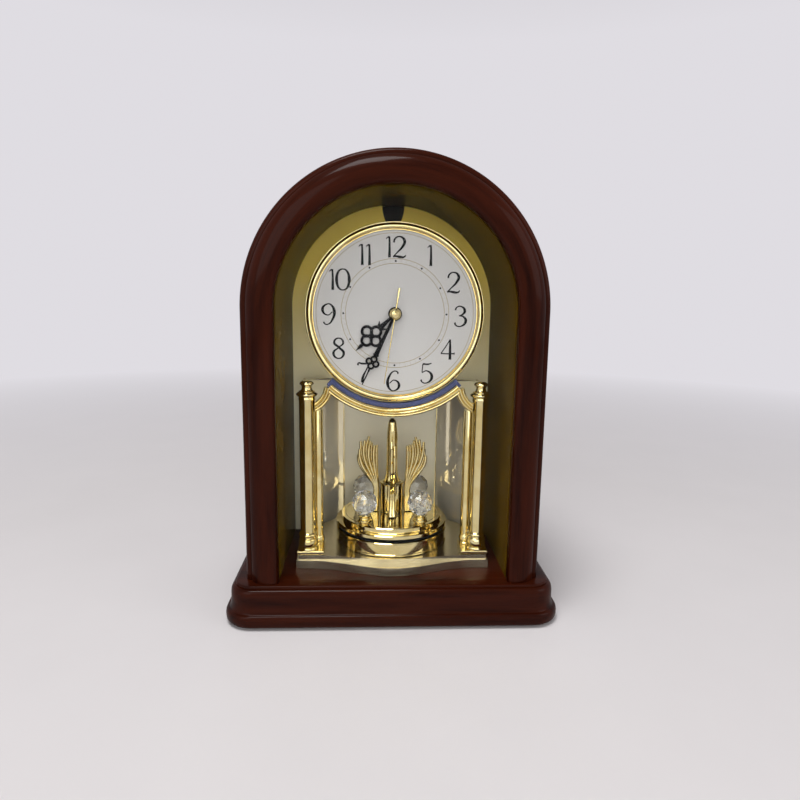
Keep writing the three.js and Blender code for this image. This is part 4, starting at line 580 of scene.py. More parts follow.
def from_node(node, name, width, segments=2):
    """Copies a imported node, merges its triangles into faces and rounds its edges."""
    pick(frame["nodes"][node])
    bpy.ops.object.duplicate()
    piece = bpy.context.object
    piece.name = name
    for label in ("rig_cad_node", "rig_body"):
        if label in piece:
            del piece[label]
    bpy.ops.object.parent_clear(type="CLEAR_KEEP_TRANSFORM")
    open_up()
    weld()
    bpy.ops.mesh.dissolve_limited(angle_limit=radians(1))
    done(piece)
    return rounded(piece, width, segments)


def lay_grain(piece):
    """Stores the way along the arch, the radius and the depth, for grain that follows the wood."""
    leg = SPRING - FOOT
    places = []
    for vertex in piece.data.vertices:
        x, y, z = vertex.co
        if z > SPRING:
            radius = hypot(x, z - SPRING)
            along = leg + atan2(z - SPRING, -x) * ARCH_RADIUS
        else:
            radius = abs(x)
            along = z - FOOT if x < 0 else 2 * leg + pi * ARCH_RADIUS - (z - FOOT)
        places.extend((along, radius, y))
    grain = piece.data.attributes.new("grain", "FLOAT_VECTOR", "POINT")
    grain.data.foreach_set("vector", places)


# Finishes

def shade_of(rgb, factor):
    """A colour made darker or lighter."""
    return tuple(min(1.0, part * factor) for part in rgb)


def tone(name):
    """A colour of the finishes by its name in the panel."""
    return tuple(getattr(bpy.context.scene.clock_colours, name))


class Recipe:
    """A material or a world being mixed: nodes are added and linked with short calls."""

    def __init__(self, owner, shader, sockets):
        owner.use_nodes = True
        self.owner = owner
        self.tree = owner.node_tree
        self.shader = self.tree.nodes[shader]
        for socket, value in sockets.items():
            self.shader.inputs[socket].default_value = value

    def node(self, kind, inputs, **settings):
        """A node with its settings, and its inputs as values or links."""
        made = self.tree.nodes.new(kind)
        for label, value in settings.items():
            setattr(made, label, value)
        for socket, value in inputs.items():
            if isinstance(value, bpy.types.NodeSocket):
                self.tree.links.new(value, made.inputs[socket])
            else:
                made.inputs[socket].default_value = value
        return made

    def link(self, socket, value):
        """Links a value to the shader."""
        self.tree.links.new(value, self.shader.inputs[socket])

    def place(self, scale, turned_by=(0, 0, 0)):
        """Object coordinates, scaled and turned."""
        source = self.node("ShaderNodeTexCoord", {}).outputs["Object"]
        inputs = {"Vector": source, "Scale": scale, "Rotation": turned_by}
        return self.node("ShaderNodeMapping", inputs).outputs["Vector"]

    def grain(self, scale):
        """Places along the grain of the arch, scaled."""
        source = self.node("ShaderNodeAttribute", {}, attribute_name="grain").outputs["Vector"]
        return self.node("ShaderNodeMapping", {"Vector": source, "Scale": scale}).outputs["Vector"]

    def noise(self, vector, detail, roughness=0.55):
        """Noise at the scale of its coordinates."""
        inputs = {"Vector": vector, "Scale": 1.0, "Detail": detail, "Roughness": roughness}
        return self.node("ShaderNodeTexNoise", inputs).outputs["Fac"]

    def speckle(self, grit, detail, roughness=0.55):
        """Noise with the same grit in every direction."""
        return self.noise(self.place((grit, grit, grit)), detail, roughness)

    def math(self, operation, *values):
        """One sum of up to three values."""
        return self.node("ShaderNodeMath", dict(enumerate(values)), operation=operation).outputs["Value"]

    def added(self, first, second, share):
        """A value with a share of another one added."""
        return self.math("MULTIPLY_ADD", second, share, first)

    def ramp(self, value, *stops):
        """A colour that runs from stop to stop."""
        made = self.node("ShaderNodeValToRGB", {"Fac": value})
        elements = made.color_ramp.elements
        for element, (position, rgb) in ((elements[0], stops[0]), (elements[-1], stops[-1])):
            element.position = position
            element.color = (*rgb, 1)
        for position, rgb in stops[1:-1]:
            elements.new(position).color = (*rgb, 1)
        return made.outputs["Color"]

    def spread(self, value, lowest, highest, start=0.0, stop=1.0):
        """A value spread over another range."""
        inputs = {"Value": value, "From Min": start, "From Max": stop, "To Min": lowest, "To Max": highest}
        return self.node("ShaderNodeMapRange", inputs).outputs["Result"]

    def tint(self, value, rgb, darker, lighter, start=0.3, stop=0.7):
        """Colours the surface from a darker to a lighter tone of one colour."""
        stops = ((start, shade_of(rgb, darker)), (stop, shade_of(rgb, lighter)))
        self.link("Base Color", self.ramp(value, *stops))

    def rough(self, value, lowest, highest, start=0.3, stop=0.7):
        """Lets the roughness of the surface follow a value."""
        self.link("Roughness", self.spread(value, lowest, highest, start, stop))

    def bump(self, height, depth, strength):
        """Raises the surface by a depth in metres."""
        made = self.node("ShaderNodeBump", {"Height": height, "Distance": depth, "Strength": strength})
        self.link("Normal", made.outputs["Normal"])


def surface(name, sockets):
    """The recipe of a new material."""
    return Recipe(bpy.data.materials.new(name), "Principled BSDF", sockets)


def stained_wood(name, along_arch, coat):
    """Dark stained mahogany under a semi-gloss coat, with streaks and fine pores along the grain."""
    wood = surface(name, {"Coat Weight": coat, "Coat Roughness": 0.1, "IOR": 1.08})
    lay = wood.grain if along_arch else wood.place
    figure = wood.noise(lay((9, 120, 120)), 5.0, 0.6)
    pores = wood.noise(lay((70, 2600, 2600)), 3.0, 0.6)
    light = tone("wood_light")
    stops = ((0.40, tone("wood_dark")), (0.62, shade_of(light, 0.72)), (0.82, light))
    wood.link("Base Color", wood.ramp(wood.added(figure, pores, 0.22), *stops))
    wood.rough(pores, 0.26, 0.40)
    wood.bump(pores, 0.00003, 0.5)
    return wood.owner


def plated(name, deep, bright, roughness):
    """Plated metal with faint smudges."""
    gold = surface(name, {"Metallic": 1.0})
    smudge = gold.speckle(60, 4.0, 0.6)
    gold.link("Base Color", gold.ramp(smudge, (0.3, tone(deep)), (0.6, tone(bright))))
    gold.rough(smudge, roughness, roughness + 0.08, 0.3, 0.75)
    gold.bump(gold.speckle(900, 2.0), 0.000004, 0.4)
    return gold.owner


def satin_sheet(name):
    """Satin gold sheet, brushed upright. Its colour pales towards its foot as a painted sheen of the light
    from the front, and deepens towards its top as painted shade under the arch.
    """
    satin = surface(name, {"Metallic": 0.2, "Anisotropic": 0.3})
    brush = satin.noise(satin.place((3200, 3200, 40)), 3.0, 0.6)
    cloud = satin.added(satin.speckle(25, 3.0), brush, 0.3)
    height = satin.node("ShaderNodeSeparateXYZ", {"Vector": satin.place((1, 1, 1))}).outputs["Z"]
    # Height mask for the painted light: palest painted sheen at the foot, deeper gold with painted shade at
    # the top
    mixed = satin.added(satin.spread(height, 0.0, 1.0, 0.125, 0.235), cloud, 0.12)
    satin.link("Base Color", satin.ramp(mixed, (0.05, tone("panel_low")), (1.05, tone("panel"))))
    satin.rough(brush, 0.30, 0.42)
    satin.bump(brush, 0.00001, 0.35)
    return satin.owner


def glossy_sheet(name):
    """Glossy olive sheet with a slight waviness. Its dark olive colour is painted shade, standing in for a
    gold film that mirrors the dim room.
    """
    olive = surface(name, {"IOR": 1.04})
    cloud = olive.speckle(22, 3.0)
    olive.tint(cloud, tone("lining"), 0.75, 1.2)
    olive.rough(cloud, 0.12, 0.24)
    olive.bump(olive.speckle(45, 2.0), 0.00005, 0.12)
    return olive.owner


def silver_coat(name, rgb, metallic, roughness):
    """Silvered glass with faint haze."""
    silver = surface(name, {"Metallic": metallic})
    haze = silver.speckle(40, 4.0)
    silver.tint(haze, tone(rgb), 0.94, 1.0)
    silver.rough(haze, roughness, roughness + 0.04, 0.3, 0.8)
    return silver.owner


def wiped_glass(name):
    """Clear glass with the faintest wipe marks."""
    glass = surface(name, {"Base Color": (*tone("glass"), 1), "Transmission Weight": 1.0, "IOR": 1.1})
    wipe = glass.noise(glass.place((14, 14, 60), (0, 0.5, 0)), 3.0)
    glass.rough(wipe, 0.0, 0.012, 0.45, 0.85)
    return glass.owner


def clear_crystal(name):
    """Clear crystal with faint seeds."""
    crystal = surface(name, {"Transmission Weight": 0.95, "IOR": 1.55})
    seed = crystal.speckle(300, 2.0)
    crystal.tint(seed, tone("crystal"), 0.97, 1.0)
    crystal.rough(seed, 0.0, 0.02, 0.5, 0.9)
    return crystal.owner


def satin_paint(name):
    """Satin slate blue paint."""
    blue = surface(name, {"Specular IOR Level": 0.15})
    fleck = blue.speckle(900, 3.0)
    blue.tint(fleck, tone("collar"), 0.8, 1.2)
    blue.rough(fleck, 0.28, 0.42)
    return blue.owner


def pale_card(name):
    """Pale dial card with a fine tooth."""
    card = surface(name, {"Specular IOR Level": 0.35})
    tooth = card.speckle(2500, 3.0)
    cloud = card.added(card.speckle(35, 2.0), tooth, 0.2)
    card.tint(cloud, tone("dial"), 0.97, 1.0, 0.4, 0.8)
    card.rough(tooth, 0.45, 0.6)
    card.bump(tooth, 0.00001, 0.3)
    return card.owner


def wound_wire(name):
    """Varnished copper winding, with its turns."""
    wire = surface(name, {"Metallic": 1.0, "Base Color": (*tone("copper"), 1)})
    inputs = {"Vector": wire.place((1, 0.2, 0.2)), "Scale": 1200.0, "Distortion": 0.4}
    turns = wire.node("ShaderNodeTexWave", inputs).outputs["Fac"]
    wire.rough(turns, 0.25, 0.45, 0.0, 1.0)
    wire.bump(turns, 0.00012, 0.8)
    return wire.owner


def plain(name, rgb, roughness, grit, metallic=0.0, depth=0.00001, shine=0.5):
    """A plain finish with its own speckle: plastic, paper, ink, cloth or bare metal."""
    coat = surface(name, {"Metallic": metallic, "Specular IOR Level": shine})
    speck = coat.speckle(grit, 4.0, 0.6)
    coat.tint(speck, tone(rgb), 0.82, 1.1)
    coat.rough(speck, roughness - 0.06, roughness + 0.06)
    coat.bump(speck, depth, 0.5)
    return coat.owner


# How each finish is made, with its colours and settings
FINISHES = {
    "mahogany_arch": (stained_wood, True, 0.13),
    "mahogany_base": (stained_wood, False, 0.16),
    "polished_gold": (plated, "gold_deep", "gold", 0.05),
    "pale_gold": (plated, "gold_dull", "gold_pale", 0.18),
    "satin_gold": (satin_sheet,),
    "olive_gloss": (glossy_sheet,),
    # The warm tint of the side mirrors is partly their own and partly a painted reflection of cream
    # surroundings
    "silvered_glass": (silver_coat, "mirror", 0.72, 0.012),
    "satin_silver": (silver_coat, "silver", 0.25, 0.36),
    "clear_pane": (wiped_glass,),
    "cut_crystal": (clear_crystal,),
    "slate_blue": (satin_paint,),
    "dial_card": (pale_card,),
    "copper_wire": (wound_wire,),
    "black_ink": (plain, "ink", 0.34, 1500, 0.0, 0.00001, 0.1),
    "olive_ink": (plain, "olive_ink", 0.4, 1500, 0.3),
    "rear_board": (plain, "board", 0.6, 700, 0.0, 0.00008),
    "dark_felt": (plain, "felt", 0.9, 1800, 0.0, 0.0003),
    "bare_steel": (plain, "steel", 0.28, 600, 1.0),
    "plain_brass": (plain, "brass", 0.26, 600, 1.0),
    "black_plastic": (plain, "black_plastic", 0.45, 1100, 0.0, 0.00003),
    "white_plastic": (plain, "white_plastic", 0.42, 1100, 0.0, 0.00002),
    "green_board": (plain, "circuit", 0.35, 900),
    "battery_sleeve": (plain, "sleeve", 0.3, 500, 0.3),
}


def finish(name):
    """A finish by name, mixed on first use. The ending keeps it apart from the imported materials."""
    label = name + "_finish"
    maker, *settings = FINISHES[name]
    return bpy.data.materials.get(label) or maker(label, *settings)


def settle(piece, body, finish_name, slot, *nodes):
    """Gives a finished piece its finish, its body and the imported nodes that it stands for."""
    piece.data.materials.clear()
    piece.data.materials.append(finish(finish_name))
    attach(piece, body)
    if nodes:
        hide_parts(*nodes)
    return piece


def refine(node, name, body, finish_name, slot, width, segments=2):
    """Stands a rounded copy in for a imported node. The width of the rounding is in millimetres."""
    settle(from_node(node, name, width * MM, segments), body, finish_name, slot, node)


def dress(node, finish_name):
    """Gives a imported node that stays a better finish."""
    for slot in frame["nodes"][node].material_slots:
        slot.material = finish(finish_name)


# Stage, in metres

# Softboxes: where each stands, its width and the setting that holds its power
LAMPS = (
    ("top_softbox", (-0.25, -0.45, 1.7), 0.7, "top_lamp"),
    ("left_softbox", (-1.2, -1.8, 1.1), 1.3, "left_lamp"),
    ("front_softbox", (0.12, -2.3, 0.45), 2.0, "front_lamp"),
    ("right_softbox", (1.7, -1.0, 0.9), 1.2, "right_lamp"),
)
UNREFLECTED = "front_softbox"
LAMP_AIM = Vector((0, 0, 0.13))
FLOOR_RADIUS = 3.0
FLOOR_Z = -0.0002
# From the clock to where the floor starts to fade, and to where it has gone
FLOOR_FADE = (0.35, 1.4)
# Upward share of a ray where the wall starts to dim, and where it has become the ceiling
WALL_TO_CEILING = (0.35, 0.95)
# Backward share of a ray where the dim front of the room starts to brighten, and where it has gone
FRONT_SHADE = (-0.95, -0.45)
SENSOR_WIDTH = 36
CLIP = (0.01, 20)


class CLOCK_OT_stage(bpy.types.Operator):
    """Sets up the floor, the soft lamps, the pale surroundings and the camera"""

    bl_idname = "clock.stage"
    bl_label = "Stage"

    def execute(self, context):
        stage = context.scene.clock_stage
        deselect()
        bpy.ops.mesh.primitive_circle_add(
            vertices=96, radius=FLOOR_RADIUS, fill_type="NGON", location=(0, 0, FLOOR_Z),
        )
        floor = context.object
        floor.name = "floor"
        bpy.ops.object.transform_apply(location=True)
        floor.data.materials.append(self.pale_floor(stage))
        for name, place, width, power in LAMPS:
            self.lamp(name, place, width, getattr(stage, power))
        self.surroundings(context.scene, stage)
        self.camera(context.scene, stage)
        context.scene.view_settings.view_transform = "Standard"
        return {"FINISHED"}

    def shown(self, recipe, *kinds):
        """One for the rays that see the background: camera, transmission and other stated rays."""
        rays = recipe.node("ShaderNodeLightPath", {}).outputs
        value = rays["Is Camera Ray"]
        for kind in ("Is Transmission Ray", *kinds):
            value = recipe.math("MAXIMUM", value, rays[kind])
        return value

    def pale_floor(self, stage):
        """Plain pale floor that fades into the surroundings away from the clock."""
        floor = surface("pale_floor", {"Roughness": 0.6, "Specular IOR Level": 0.2})
        floor.tint(floor.speckle(12, 3.0), tuple(stage.floor), 0.98, 1.0)
        reach = floor.node("ShaderNodeVectorMath", {0: floor.place((1, 1, 1))}, operation="LENGTH")
        fade = floor.spread(reach.outputs["Value"], 0.0, 1.0, *FLOOR_FADE)
        share = floor.math("MULTIPLY", fade, self.shown(floor))
        glow = floor.node("ShaderNodeEmission", {"Color": (*stage.wall, 1)}).outputs["Emission"]
        mixed = floor.node("ShaderNodeMixShader", {0: share, 1: floor.shader.outputs["BSDF"], 2: glow})
        floor.tree.links.new(mixed.outputs["Shader"], floor.tree.nodes["Material Output"].inputs["Surface"])
        return floor.owner

    def lamp(self, name, place, width, power):
        """A square softbox that faces the clock."""
        deselect()
        bpy.ops.object.light_add(type="AREA", location=place)
        lamp = bpy.context.object
        lamp.name = name
        lamp.data.size = width
        lamp.data.energy = power
        lamp.rotation_euler = (LAMP_AIM - Vector(place)).to_track_quat("-Z", "Y").to_euler()
        lamp.visible_glossy = name != UNREFLECTED

    def surroundings(self, scene, stage):
        """Pale all round at eye level, dimmer overhead, and dim in front for what reflects it."""
        scene.world = bpy.data.worlds.new("pale_room")
        room = Recipe(scene.world, "Background", {})
        source = room.node("ShaderNodeTexCoord", {}).outputs["Generated"]
        split = room.node("ShaderNodeSeparateXYZ", {"Vector": source}).outputs
        tones = zip(WALL_TO_CEILING, (tuple(stage.wall), tuple(stage.ceiling)))
        walls = room.ramp(split["Z"], *tones)
        behind = room.spread(split["Y"], 0.0, 1.0, *FRONT_SHADE)
        glossy = room.node("ShaderNodeLightPath", {}).outputs["Is Glossy Ray"]
        lit = room.math("MAXIMUM", behind, room.math("SUBTRACT", 1, glossy))
        inputs = {"Factor": lit, "A": (*stage.shade, 1), "B": walls}
        room.link("Color", room.node("ShaderNodeMix", inputs, data_type="RGBA").outputs["Result"])
        room.link("Strength", room.spread(self.shown(room, "Is Glossy Ray"), stage.ambient, 1.0))

    def camera(self, scene, stage):
        """The camera at the photograph's angle."""
        yaw = stage.camera_yaw
        pitch = stage.camera_pitch
        roll = stage.camera_roll
        ahead = Vector((sin(yaw) * cos(pitch), cos(yaw) * cos(pitch), -sin(pitch)))
        right = Vector((cos(yaw), -sin(yaw), 0))
        up = right.cross(ahead)
        tilted_right = right * cos(roll) + up * sin(roll)
        tilted_up = up * cos(roll) - right * sin(roll)
        deselect()
        bpy.ops.object.camera_add()
        camera = bpy.context.object
        place = Matrix((tilted_right, tilted_up, -ahead)).transposed().to_4x4()
        place.translation = Vector(stage.camera_place)
        camera.matrix_world = place
        camera.data.sensor_width = SENSOR_WIDTH
        camera.data.lens = stage.lens
        camera.data.clip_start, camera.data.clip_end = CLIP
        scene.camera = camera


# Wood case, with sections in millimetres

# From the top of the base down to the foot of its round shoulder, and to the edge above it
SHOULDER_DROP = 8.4
EDGE_DROP = 1.9
HOOP_WALL = 16.7
COVER_SEAT = 3.1
GLASS_GROOVE = 2 * MM
LINING_THICK = 1.5 * MM
PANEL_THICK = 2 * MM
DRUM_HOLE = 46.2 * MM


class CLOCK_OT_plinth(bpy.types.Operator):
    """Moulds the wood base and the felt under it"""

    bl_idname = "clock.plinth"
    bl_label = "Plinth"

    def execute(self, context):
        case = context.scene.clock_case
        toe = case.plinth_toe / MM
        nose = case.plinth_nose / MM
        cove = case.plinth_cove / MM
        step = case.plinth_step / MM
        ground = low("base_plinth").z
        rise = (high("base_plinth").z - ground) / MM
        shoulder = rise - SHOULDER_DROP
        edge = rise - EDGE_DROP
        profile = path(
            quadratic((toe, 0), (0, 0), (0, nose / 2)),
            quadratic((0, nose / 2), (0, nose), (cove / 2, nose), 10),
            quadratic((cove / 2, nose), (cove, nose), (cove, shoulder), 12),
            quadratic((cove, shoulder), (cove, edge), (step - 0.4, edge), 12),
            [(step, edge)],
            quadratic((step, rise - 0.6), (step, rise), (step + 0.6, rise), 4),
        )
        lifted = [(inset, ground + height) for inset, height in profile]
        top = high("base_plinth")
        plinth = mould_round("plinth_moulding", lifted, top.x, top.y, case.plinth_corner)
        settle(plinth, "case", "mahogany_base", "mahogany", "base_plinth")
        refine("base_felt", "felt_pad", "case", "dark_felt", "felt", 0.3)
        return {"FINISHED"}


class CLOCK_OT_arch(bpy.types.Operator):
    """Sweeps the front moulding and the body of the case over the arch"""

    bl_idname = "clock.arch"
    bl_label = "Arch"

    def execute(self, context):
        case = context.scene.clock_case
        sight = case.sight_radius / MM
        face = sight + case.face_width / MM
        outer = ARCH_RADIUS / MM
        front = low("arch_frame").y / MM
        back = high("arch_frame").y / MM
        soft = case.sight_round / MM
        fall = front + case.face_fall / MM
        quirk = fall + case.quirk / MM
        bead = case.bead_round / MM
        seat = (low("front_glass").y - GAP) / MM
        rebate = sight + case.rebate / MM
        section = path(
            [(sight, seat)],
            quadratic((sight, front + soft), (sight, front), (sight + soft, front)),
            quadratic((sight + soft, front), (face - soft, front), (face, fall - 0.4), 16),
            [(face, fall), (face, quirk - 0.3), (face + 0.3, quirk)],
            quadratic((face + 0.5, quirk), (outer, quirk), (outer, quirk + bead), 12),
            quadratic((outer, back - bead), (outer, back), (outer - 3, back), 10),
            [(rebate, back), (rebate, seat), (sight, seat)],
        )
        self.wood("arch_moulding", section, "arch_frame")
        self.wood("arch_body", self.shell(case), "arch_hoop")
        return {"FINISHED"}

    def shell(self, case):
        """Section of the case's body, with a ledge for the rear cover."""
        outer = high("arch_hoop").x / MM
        front = low("arch_hoop").y / MM
        back = high("arch_hoop").y / MM
        inner = outer - HOOP_WALL
        ledge = inner + case.hoop_ledge / MM
        corner = case.hoop_round / MM
        seat = back - COVER_SEAT
        return path(
            [(inner, front)],
            quadratic((outer - 0.5, front), (outer, front), (outer, front + 0.5), 4),
            quadratic((outer, back - corner), (outer, back), (outer - corner, back)),
            quadratic((ledge + 0.4, back), (ledge, back), (ledge, back - 0.4), 3),
            [(ledge, seat), (inner, seat), (inner, front)],
        )

    def wood(self, name, section, node):
        """A wooden sweep over the arch, with its grain."""
        piece = arch_sweep(name, section)
        lay_grain(piece)
        settle(piece, "case", "mahogany_arch", "mahogany", node)


class CLOCK_OT_glass(bpy.types.Operator):
    """Cuts the arched front pane"""

    bl_idname = "clock.glass"
    bl_label = "Front glass"

    def execute(self, context):
        lowest = low("front_glass")
        highest = high("front_glass")
        outline = arch_outline(highest.x, lowest.y, lowest.z - GLASS_GROOVE)
        pane = plate("front_pane", outline, Y * (highest.y - lowest.y))
        rounded(pane, 0.25 * MM, 2)
        settle(pane, "case", "clear_pane", "clear_glass", "front_glass")
        pane.visible_shadow = False
        return {"FINISHED"}


class CLOCK_OT_lining(bpy.types.Operator):
    """Bends the olive lining and cuts the gold back panel"""

    bl_idname = "clock.lining"
    bl_label = "Lining and back panel"

    def execute(self, context):
        case = context.scene.clock_case
        outer = high("inner_lining").x
        inner = outer - LINING_THICK
        front = low("inner_lining").y
        back = high("inner_lining").y
        section = [(inner, front), (outer, front), (outer, back), (inner, back), (inner, front)]
        lining = arch_sweep("chamber_lining", section)
        settle(lining, "case", "olive_gloss", "olive_gloss", "inner_lining")

        radius = high("back_panel").x
        face = low("back_panel").y
        arch = arch_outline(radius, face, FOOT)
        half = case.notch_top / 2
        brow = SPRING + sqrt(radius ** 2 - half ** 2)
        sill = SPRING + radius - case.notch_depth
        cheek = quadratic((half, brow), (half + 0.6 * MM, brow - 6 * MM), (case.notch_foot / 2, sill), 8)
        right = [point for point in arch if point.x > half + WELD]
        left = [point for point in arch if point.x < -half - WELD]
        notch = [Vector((x, face, z)) for x, z in cheek]
        other = [Vector((-x, face, z)) for x, z in reversed(cheek)]
        half = case.bay_half
        corners = ((-half, FOOT), (-half, case.bay_height), (half, case.bay_height), (half, FOOT))
        bay = [Vector((x, face, z)) for x, z in corners]
        hole = ring_of_points(Vector((0, face, DIAL.z)), DRUM_HOLE, 72, X, Z)
        panel = plate("gold_panel", [*right, *notch, *other, *left, *bay], Y * PANEL_THICK, [hole])
        settle(panel, "case", "satin_gold", "satin_gold", "back_panel")
        return {"FINISHED"}


# Gold fittings, with profiles in millimetres

WELL_RADIUS = 33.3 * MM
TIER_LAP = 1 * MM
FRONT_STEPS = 72
# Share of the platform's half width that its swell takes up
SWELL_SPAN = 0.86
PEDESTAL = 2.4 * MM
REED_STEPS = 6
# Below one, a reed is fuller than a plain wave
REED_FULLNESS = 0.7
SWAG_FALL = 13 * MM
# Spare length of a swag, which is cut off at the column
SWAG_SPARE = radians(16)
COLLAR_INNER = 59.1 * MM
COLLAR_OUTER = 64.7 * MM
SPANDREL_PROUD = 0.2 * MM
SPANDREL_THICK = 0.6 * MM


class CLOCK_OT_platform(bpy.types.Operator):
    """Builds the two tiers of the gold platform"""

    bl_idname = "clock.platform"
    bl_label = "Platform"

    def execute(self, context):
        fit = context.scene.clock_fittings
        ledge = FOOT + fit.platform_lower
        lower = self.tier("gold_platform", 0, fit.platform_swell, FOOT, ledge)
        top = high("platform").z
        upper = self.tier("upper_tier", fit.platform_step, fit.platform_rise, ledge - TIER_LAP, top)
        combine(lower, upper, "UNION")
        rounded(lower, 0.8 * MM, 4, radians(40))
        settle(lower, "case", "pale_gold", "gold", "platform")
        return {"FINISHED"}

    def tier(self, name, inset, swell, bottom, top):
        """A slab with a serpentine front, a well for the drum and a tongue that runs into the bay."""
        fit = bpy.context.scene.clock_fittings
        half = high("platform").x - inset
        rear = low("mirror_tray").y - GAP - inset
        end = high("platform").y - inset
        outline = []
        for i in range(FRONT_STEPS + 1):
            x = half * (2 * i / FRONT_STEPS - 1)
            share = min(1, abs(x) / (SWELL_SPAN * half))
            outline.append(Vector((x, inset - fit.platform_front - swell * cos(pi * share / 2) ** 2, bottom)))
        right = ((half, rear), (fit.tongue_front - inset, rear), (fit.tongue_back - inset, end))
        outline += [Vector((x, y, bottom)) for x, y in right]
        outline += [Vector((-x, y, bottom)) for x, y in reversed(right)]
        well = ring_of_points(Z * bottom, WELL_RADIUS + inset / 6, 72, X, Y)
        return plate(name, outline, Z * (top - bottom), [well])


class CLOCK_OT_columns(bpy.types.Operator):
    """Turns the tall and slim columns on their pedestals"""

    bl_idname = "clock.columns"
    bl_label = "Columns"

    def tall(self, name, centre):
        """A tall column with a ringed base, a sharp-edged cap and a domed finial."""
        profile = path(
            [(0, 38.0), (6.6, 38.0), (7.0, 38.5), (7.0, 40.0), (6.6, 40.5), (5.9, 40.6)],
            quadratic((6.0, 40.9), (7.1, 43.4), (6.0, 46.4)),
            [(5.4, 46.8), (5.4, 47.6)],
            quadratic((5.6, 47.8), (7.1, 48.9), (5.6, 50.2)),
            [(5.2, 50.6), (5.2, 141.4), (5.5, 141.8), (5.5, 142.9), (5.25, 143.2), (5.25, 143.6)],
            quadratic((5.5, 143.7), (6.6, 144.4), (7.1, 145.3), 5),
            quadratic((7.1, 145.5), (6.5, 146.4), (5.3, 146.9), 5),
            [(5.3, 147.5), (4.4, 147.8)],
            quadratic((3.9, 148.0), (2.9, 149.6), (3.5, 151.0), 6),
            quadratic((3.5, 151.0), (3.8, 151.7), (4.6, 152.0), 4),
            [(4.6, 152.6)],
            quadratic((4.6, 152.6), (3.9, 154.5), (0, 154.5), 7),
        )
        return turned(name, profile, centre, Z, 48, radians(40))

    def slim(self, name, centre):
        """A slim column with a small ringed base."""
        profile = path(
            [(0, 38.0), (4.0, 38.0), (4.3, 38.4), (4.3, 39.8), (3.9, 40.2)],
            quadratic((3.9, 40.4), (4.6, 42.5), (3.8, 45.0), 6),
            [(3.4, 45.4), (3.4, 133.0), (3.2, 133.9), (0, 133.9)],
        )
        return turned(name, profile, centre, Z, 36, radians(40))

    def execute(self, context):
        fit = context.scene.clock_fittings
        for name, node, side in (("pillar_left", "column_left", -1), ("pillar_right", "column_right", 1)):
            lowest = low(node)
            highest = high(node)
            foot = block(name + "_foot", lowest, (highest.x, highest.y, lowest.z + PEDESTAL))
            rounded(foot, 0.4 * MM, 3)
            tall = self.tall(name + "_tall", Vector((side * fit.column_x, -fit.column_y, 0)))
            slim = self.slim(name + "_slim", Vector((side * fit.slim_x, -fit.slim_y, 0)))
            pillar = joined(name, tall, slim, foot)
            settle(pillar, "case", "polished_gold", "gold", node)
        return {"FINISHED"}


class CLOCK_OT_yoke(bpy.types.Operator):
    """Sweeps the reeded moulding below the dial and the blue crescent above it"""

    bl_idname = "clock.yoke"
    bl_label = "Yoke and collar"

    def section(self, fit, inner):
        """Radius and depth of the reeded moulding, from its inner edge."""
        back = high("yoke").y
        front = low("yoke").y
        points = [(inner, back)]
        for reed in range(fit.yoke_reeds):
            for i in range(REED_STEPS + 1):
                share = (reed + i / REED_STEPS) / fit.yoke_reeds
                swell = sin(pi * i / REED_STEPS) ** REED_FULLNESS
                fall = fit.yoke_fall * share ** 2
                points.append((inner + fit.yoke_width * share, front + fit.yoke_reed * (1 - swell) + fall))
        return [*points, (inner + fit.yoke_width, back), (inner, back)]

    def sweep(self, name, centre, start, angle, section, steps):
        """Sweeps a section round a centre. Angles run anticlockwise as seen from the front."""
        pivot = Vector((centre[0], 0, centre[1]))
        points = [pivot + Vector((r * cos(start), y, r * sin(start))) for r, y in section]
        piece = trace(name, points)
        spin(steps, angle, pivot, -Y)
        close_up(capped=True)
        return done(piece)

    def below_dial(self, name, reach, section):
        """Sweeps a section below the dial, as far to the left as to the right."""
        return self.sweep(name, (0, DIAL.z), -pi / 2 - reach, 2 * reach, section, 48)

    def swag(self, fit):
        """The right-hand swag, from the end of the middle arc down to the column."""
        reach = fit.yoke_reach
        ridge = fit.yoke_inner + fit.yoke_width / 2
        cusp = Vector((ridge * sin(reach), DIAL.z - ridge * cos(reach)))
        end = Vector((high("yoke").x, cusp.y - SWAG_FALL))
        chord = end - cusp
        out = Vector((-chord.y, chord.x)).normalized()
        stand = sqrt(fit.swag_radius ** 2 - (chord.length / 2) ** 2)
        centre = (cusp + end) / 2 + out * stand
        start = atan2(cusp.y - centre.y, cusp.x - centre.x)
        angle = 2 * asin(chord.length / 2 / fit.swag_radius) + SWAG_SPARE
        section = self.section(fit, fit.swag_radius - fit.yoke_width / 2)
        piece = self.sweep("yoke_swag", centre, start, angle, section, 20)
        open_up()
        bpy.ops.mesh.bisect(plane_co=(end.x, 0, 0), plane_no=X, clear_outer=True, use_fill=True)
        close_up()
        return done(piece)

    def execute(self, context):
        fit = context.scene.clock_fittings
        arc = self.below_dial("yoke_arc", fit.yoke_reach, self.section(fit, fit.yoke_inner))
        swag = self.swag(fit)
        mirror = copied(swag, "yoke_swag_left", Matrix.Scale(-1, 4, X))
        open_up()
        close_up()
        done(mirror)
        yoke = joined("reeded_yoke", arc, swag, mirror)
        settle(yoke, "case", "polished_gold", "gold", "yoke")
        front = low("dial_collar").y
        back = high("dial_collar").y
        edges = ((COLLAR_INNER, front), (COLLAR_OUTER, front), (COLLAR_OUTER, back), (COLLAR_INNER, back))
        collar = self.below_dial("blue_crescent", fit.collar_reach, [*edges, edges[0]])
        rounded(collar, 0.3 * MM, 2, radians(50))
        settle(collar, "case", "slate_blue", "slate_blue", "dial_collar")
        return {"FINISHED"}


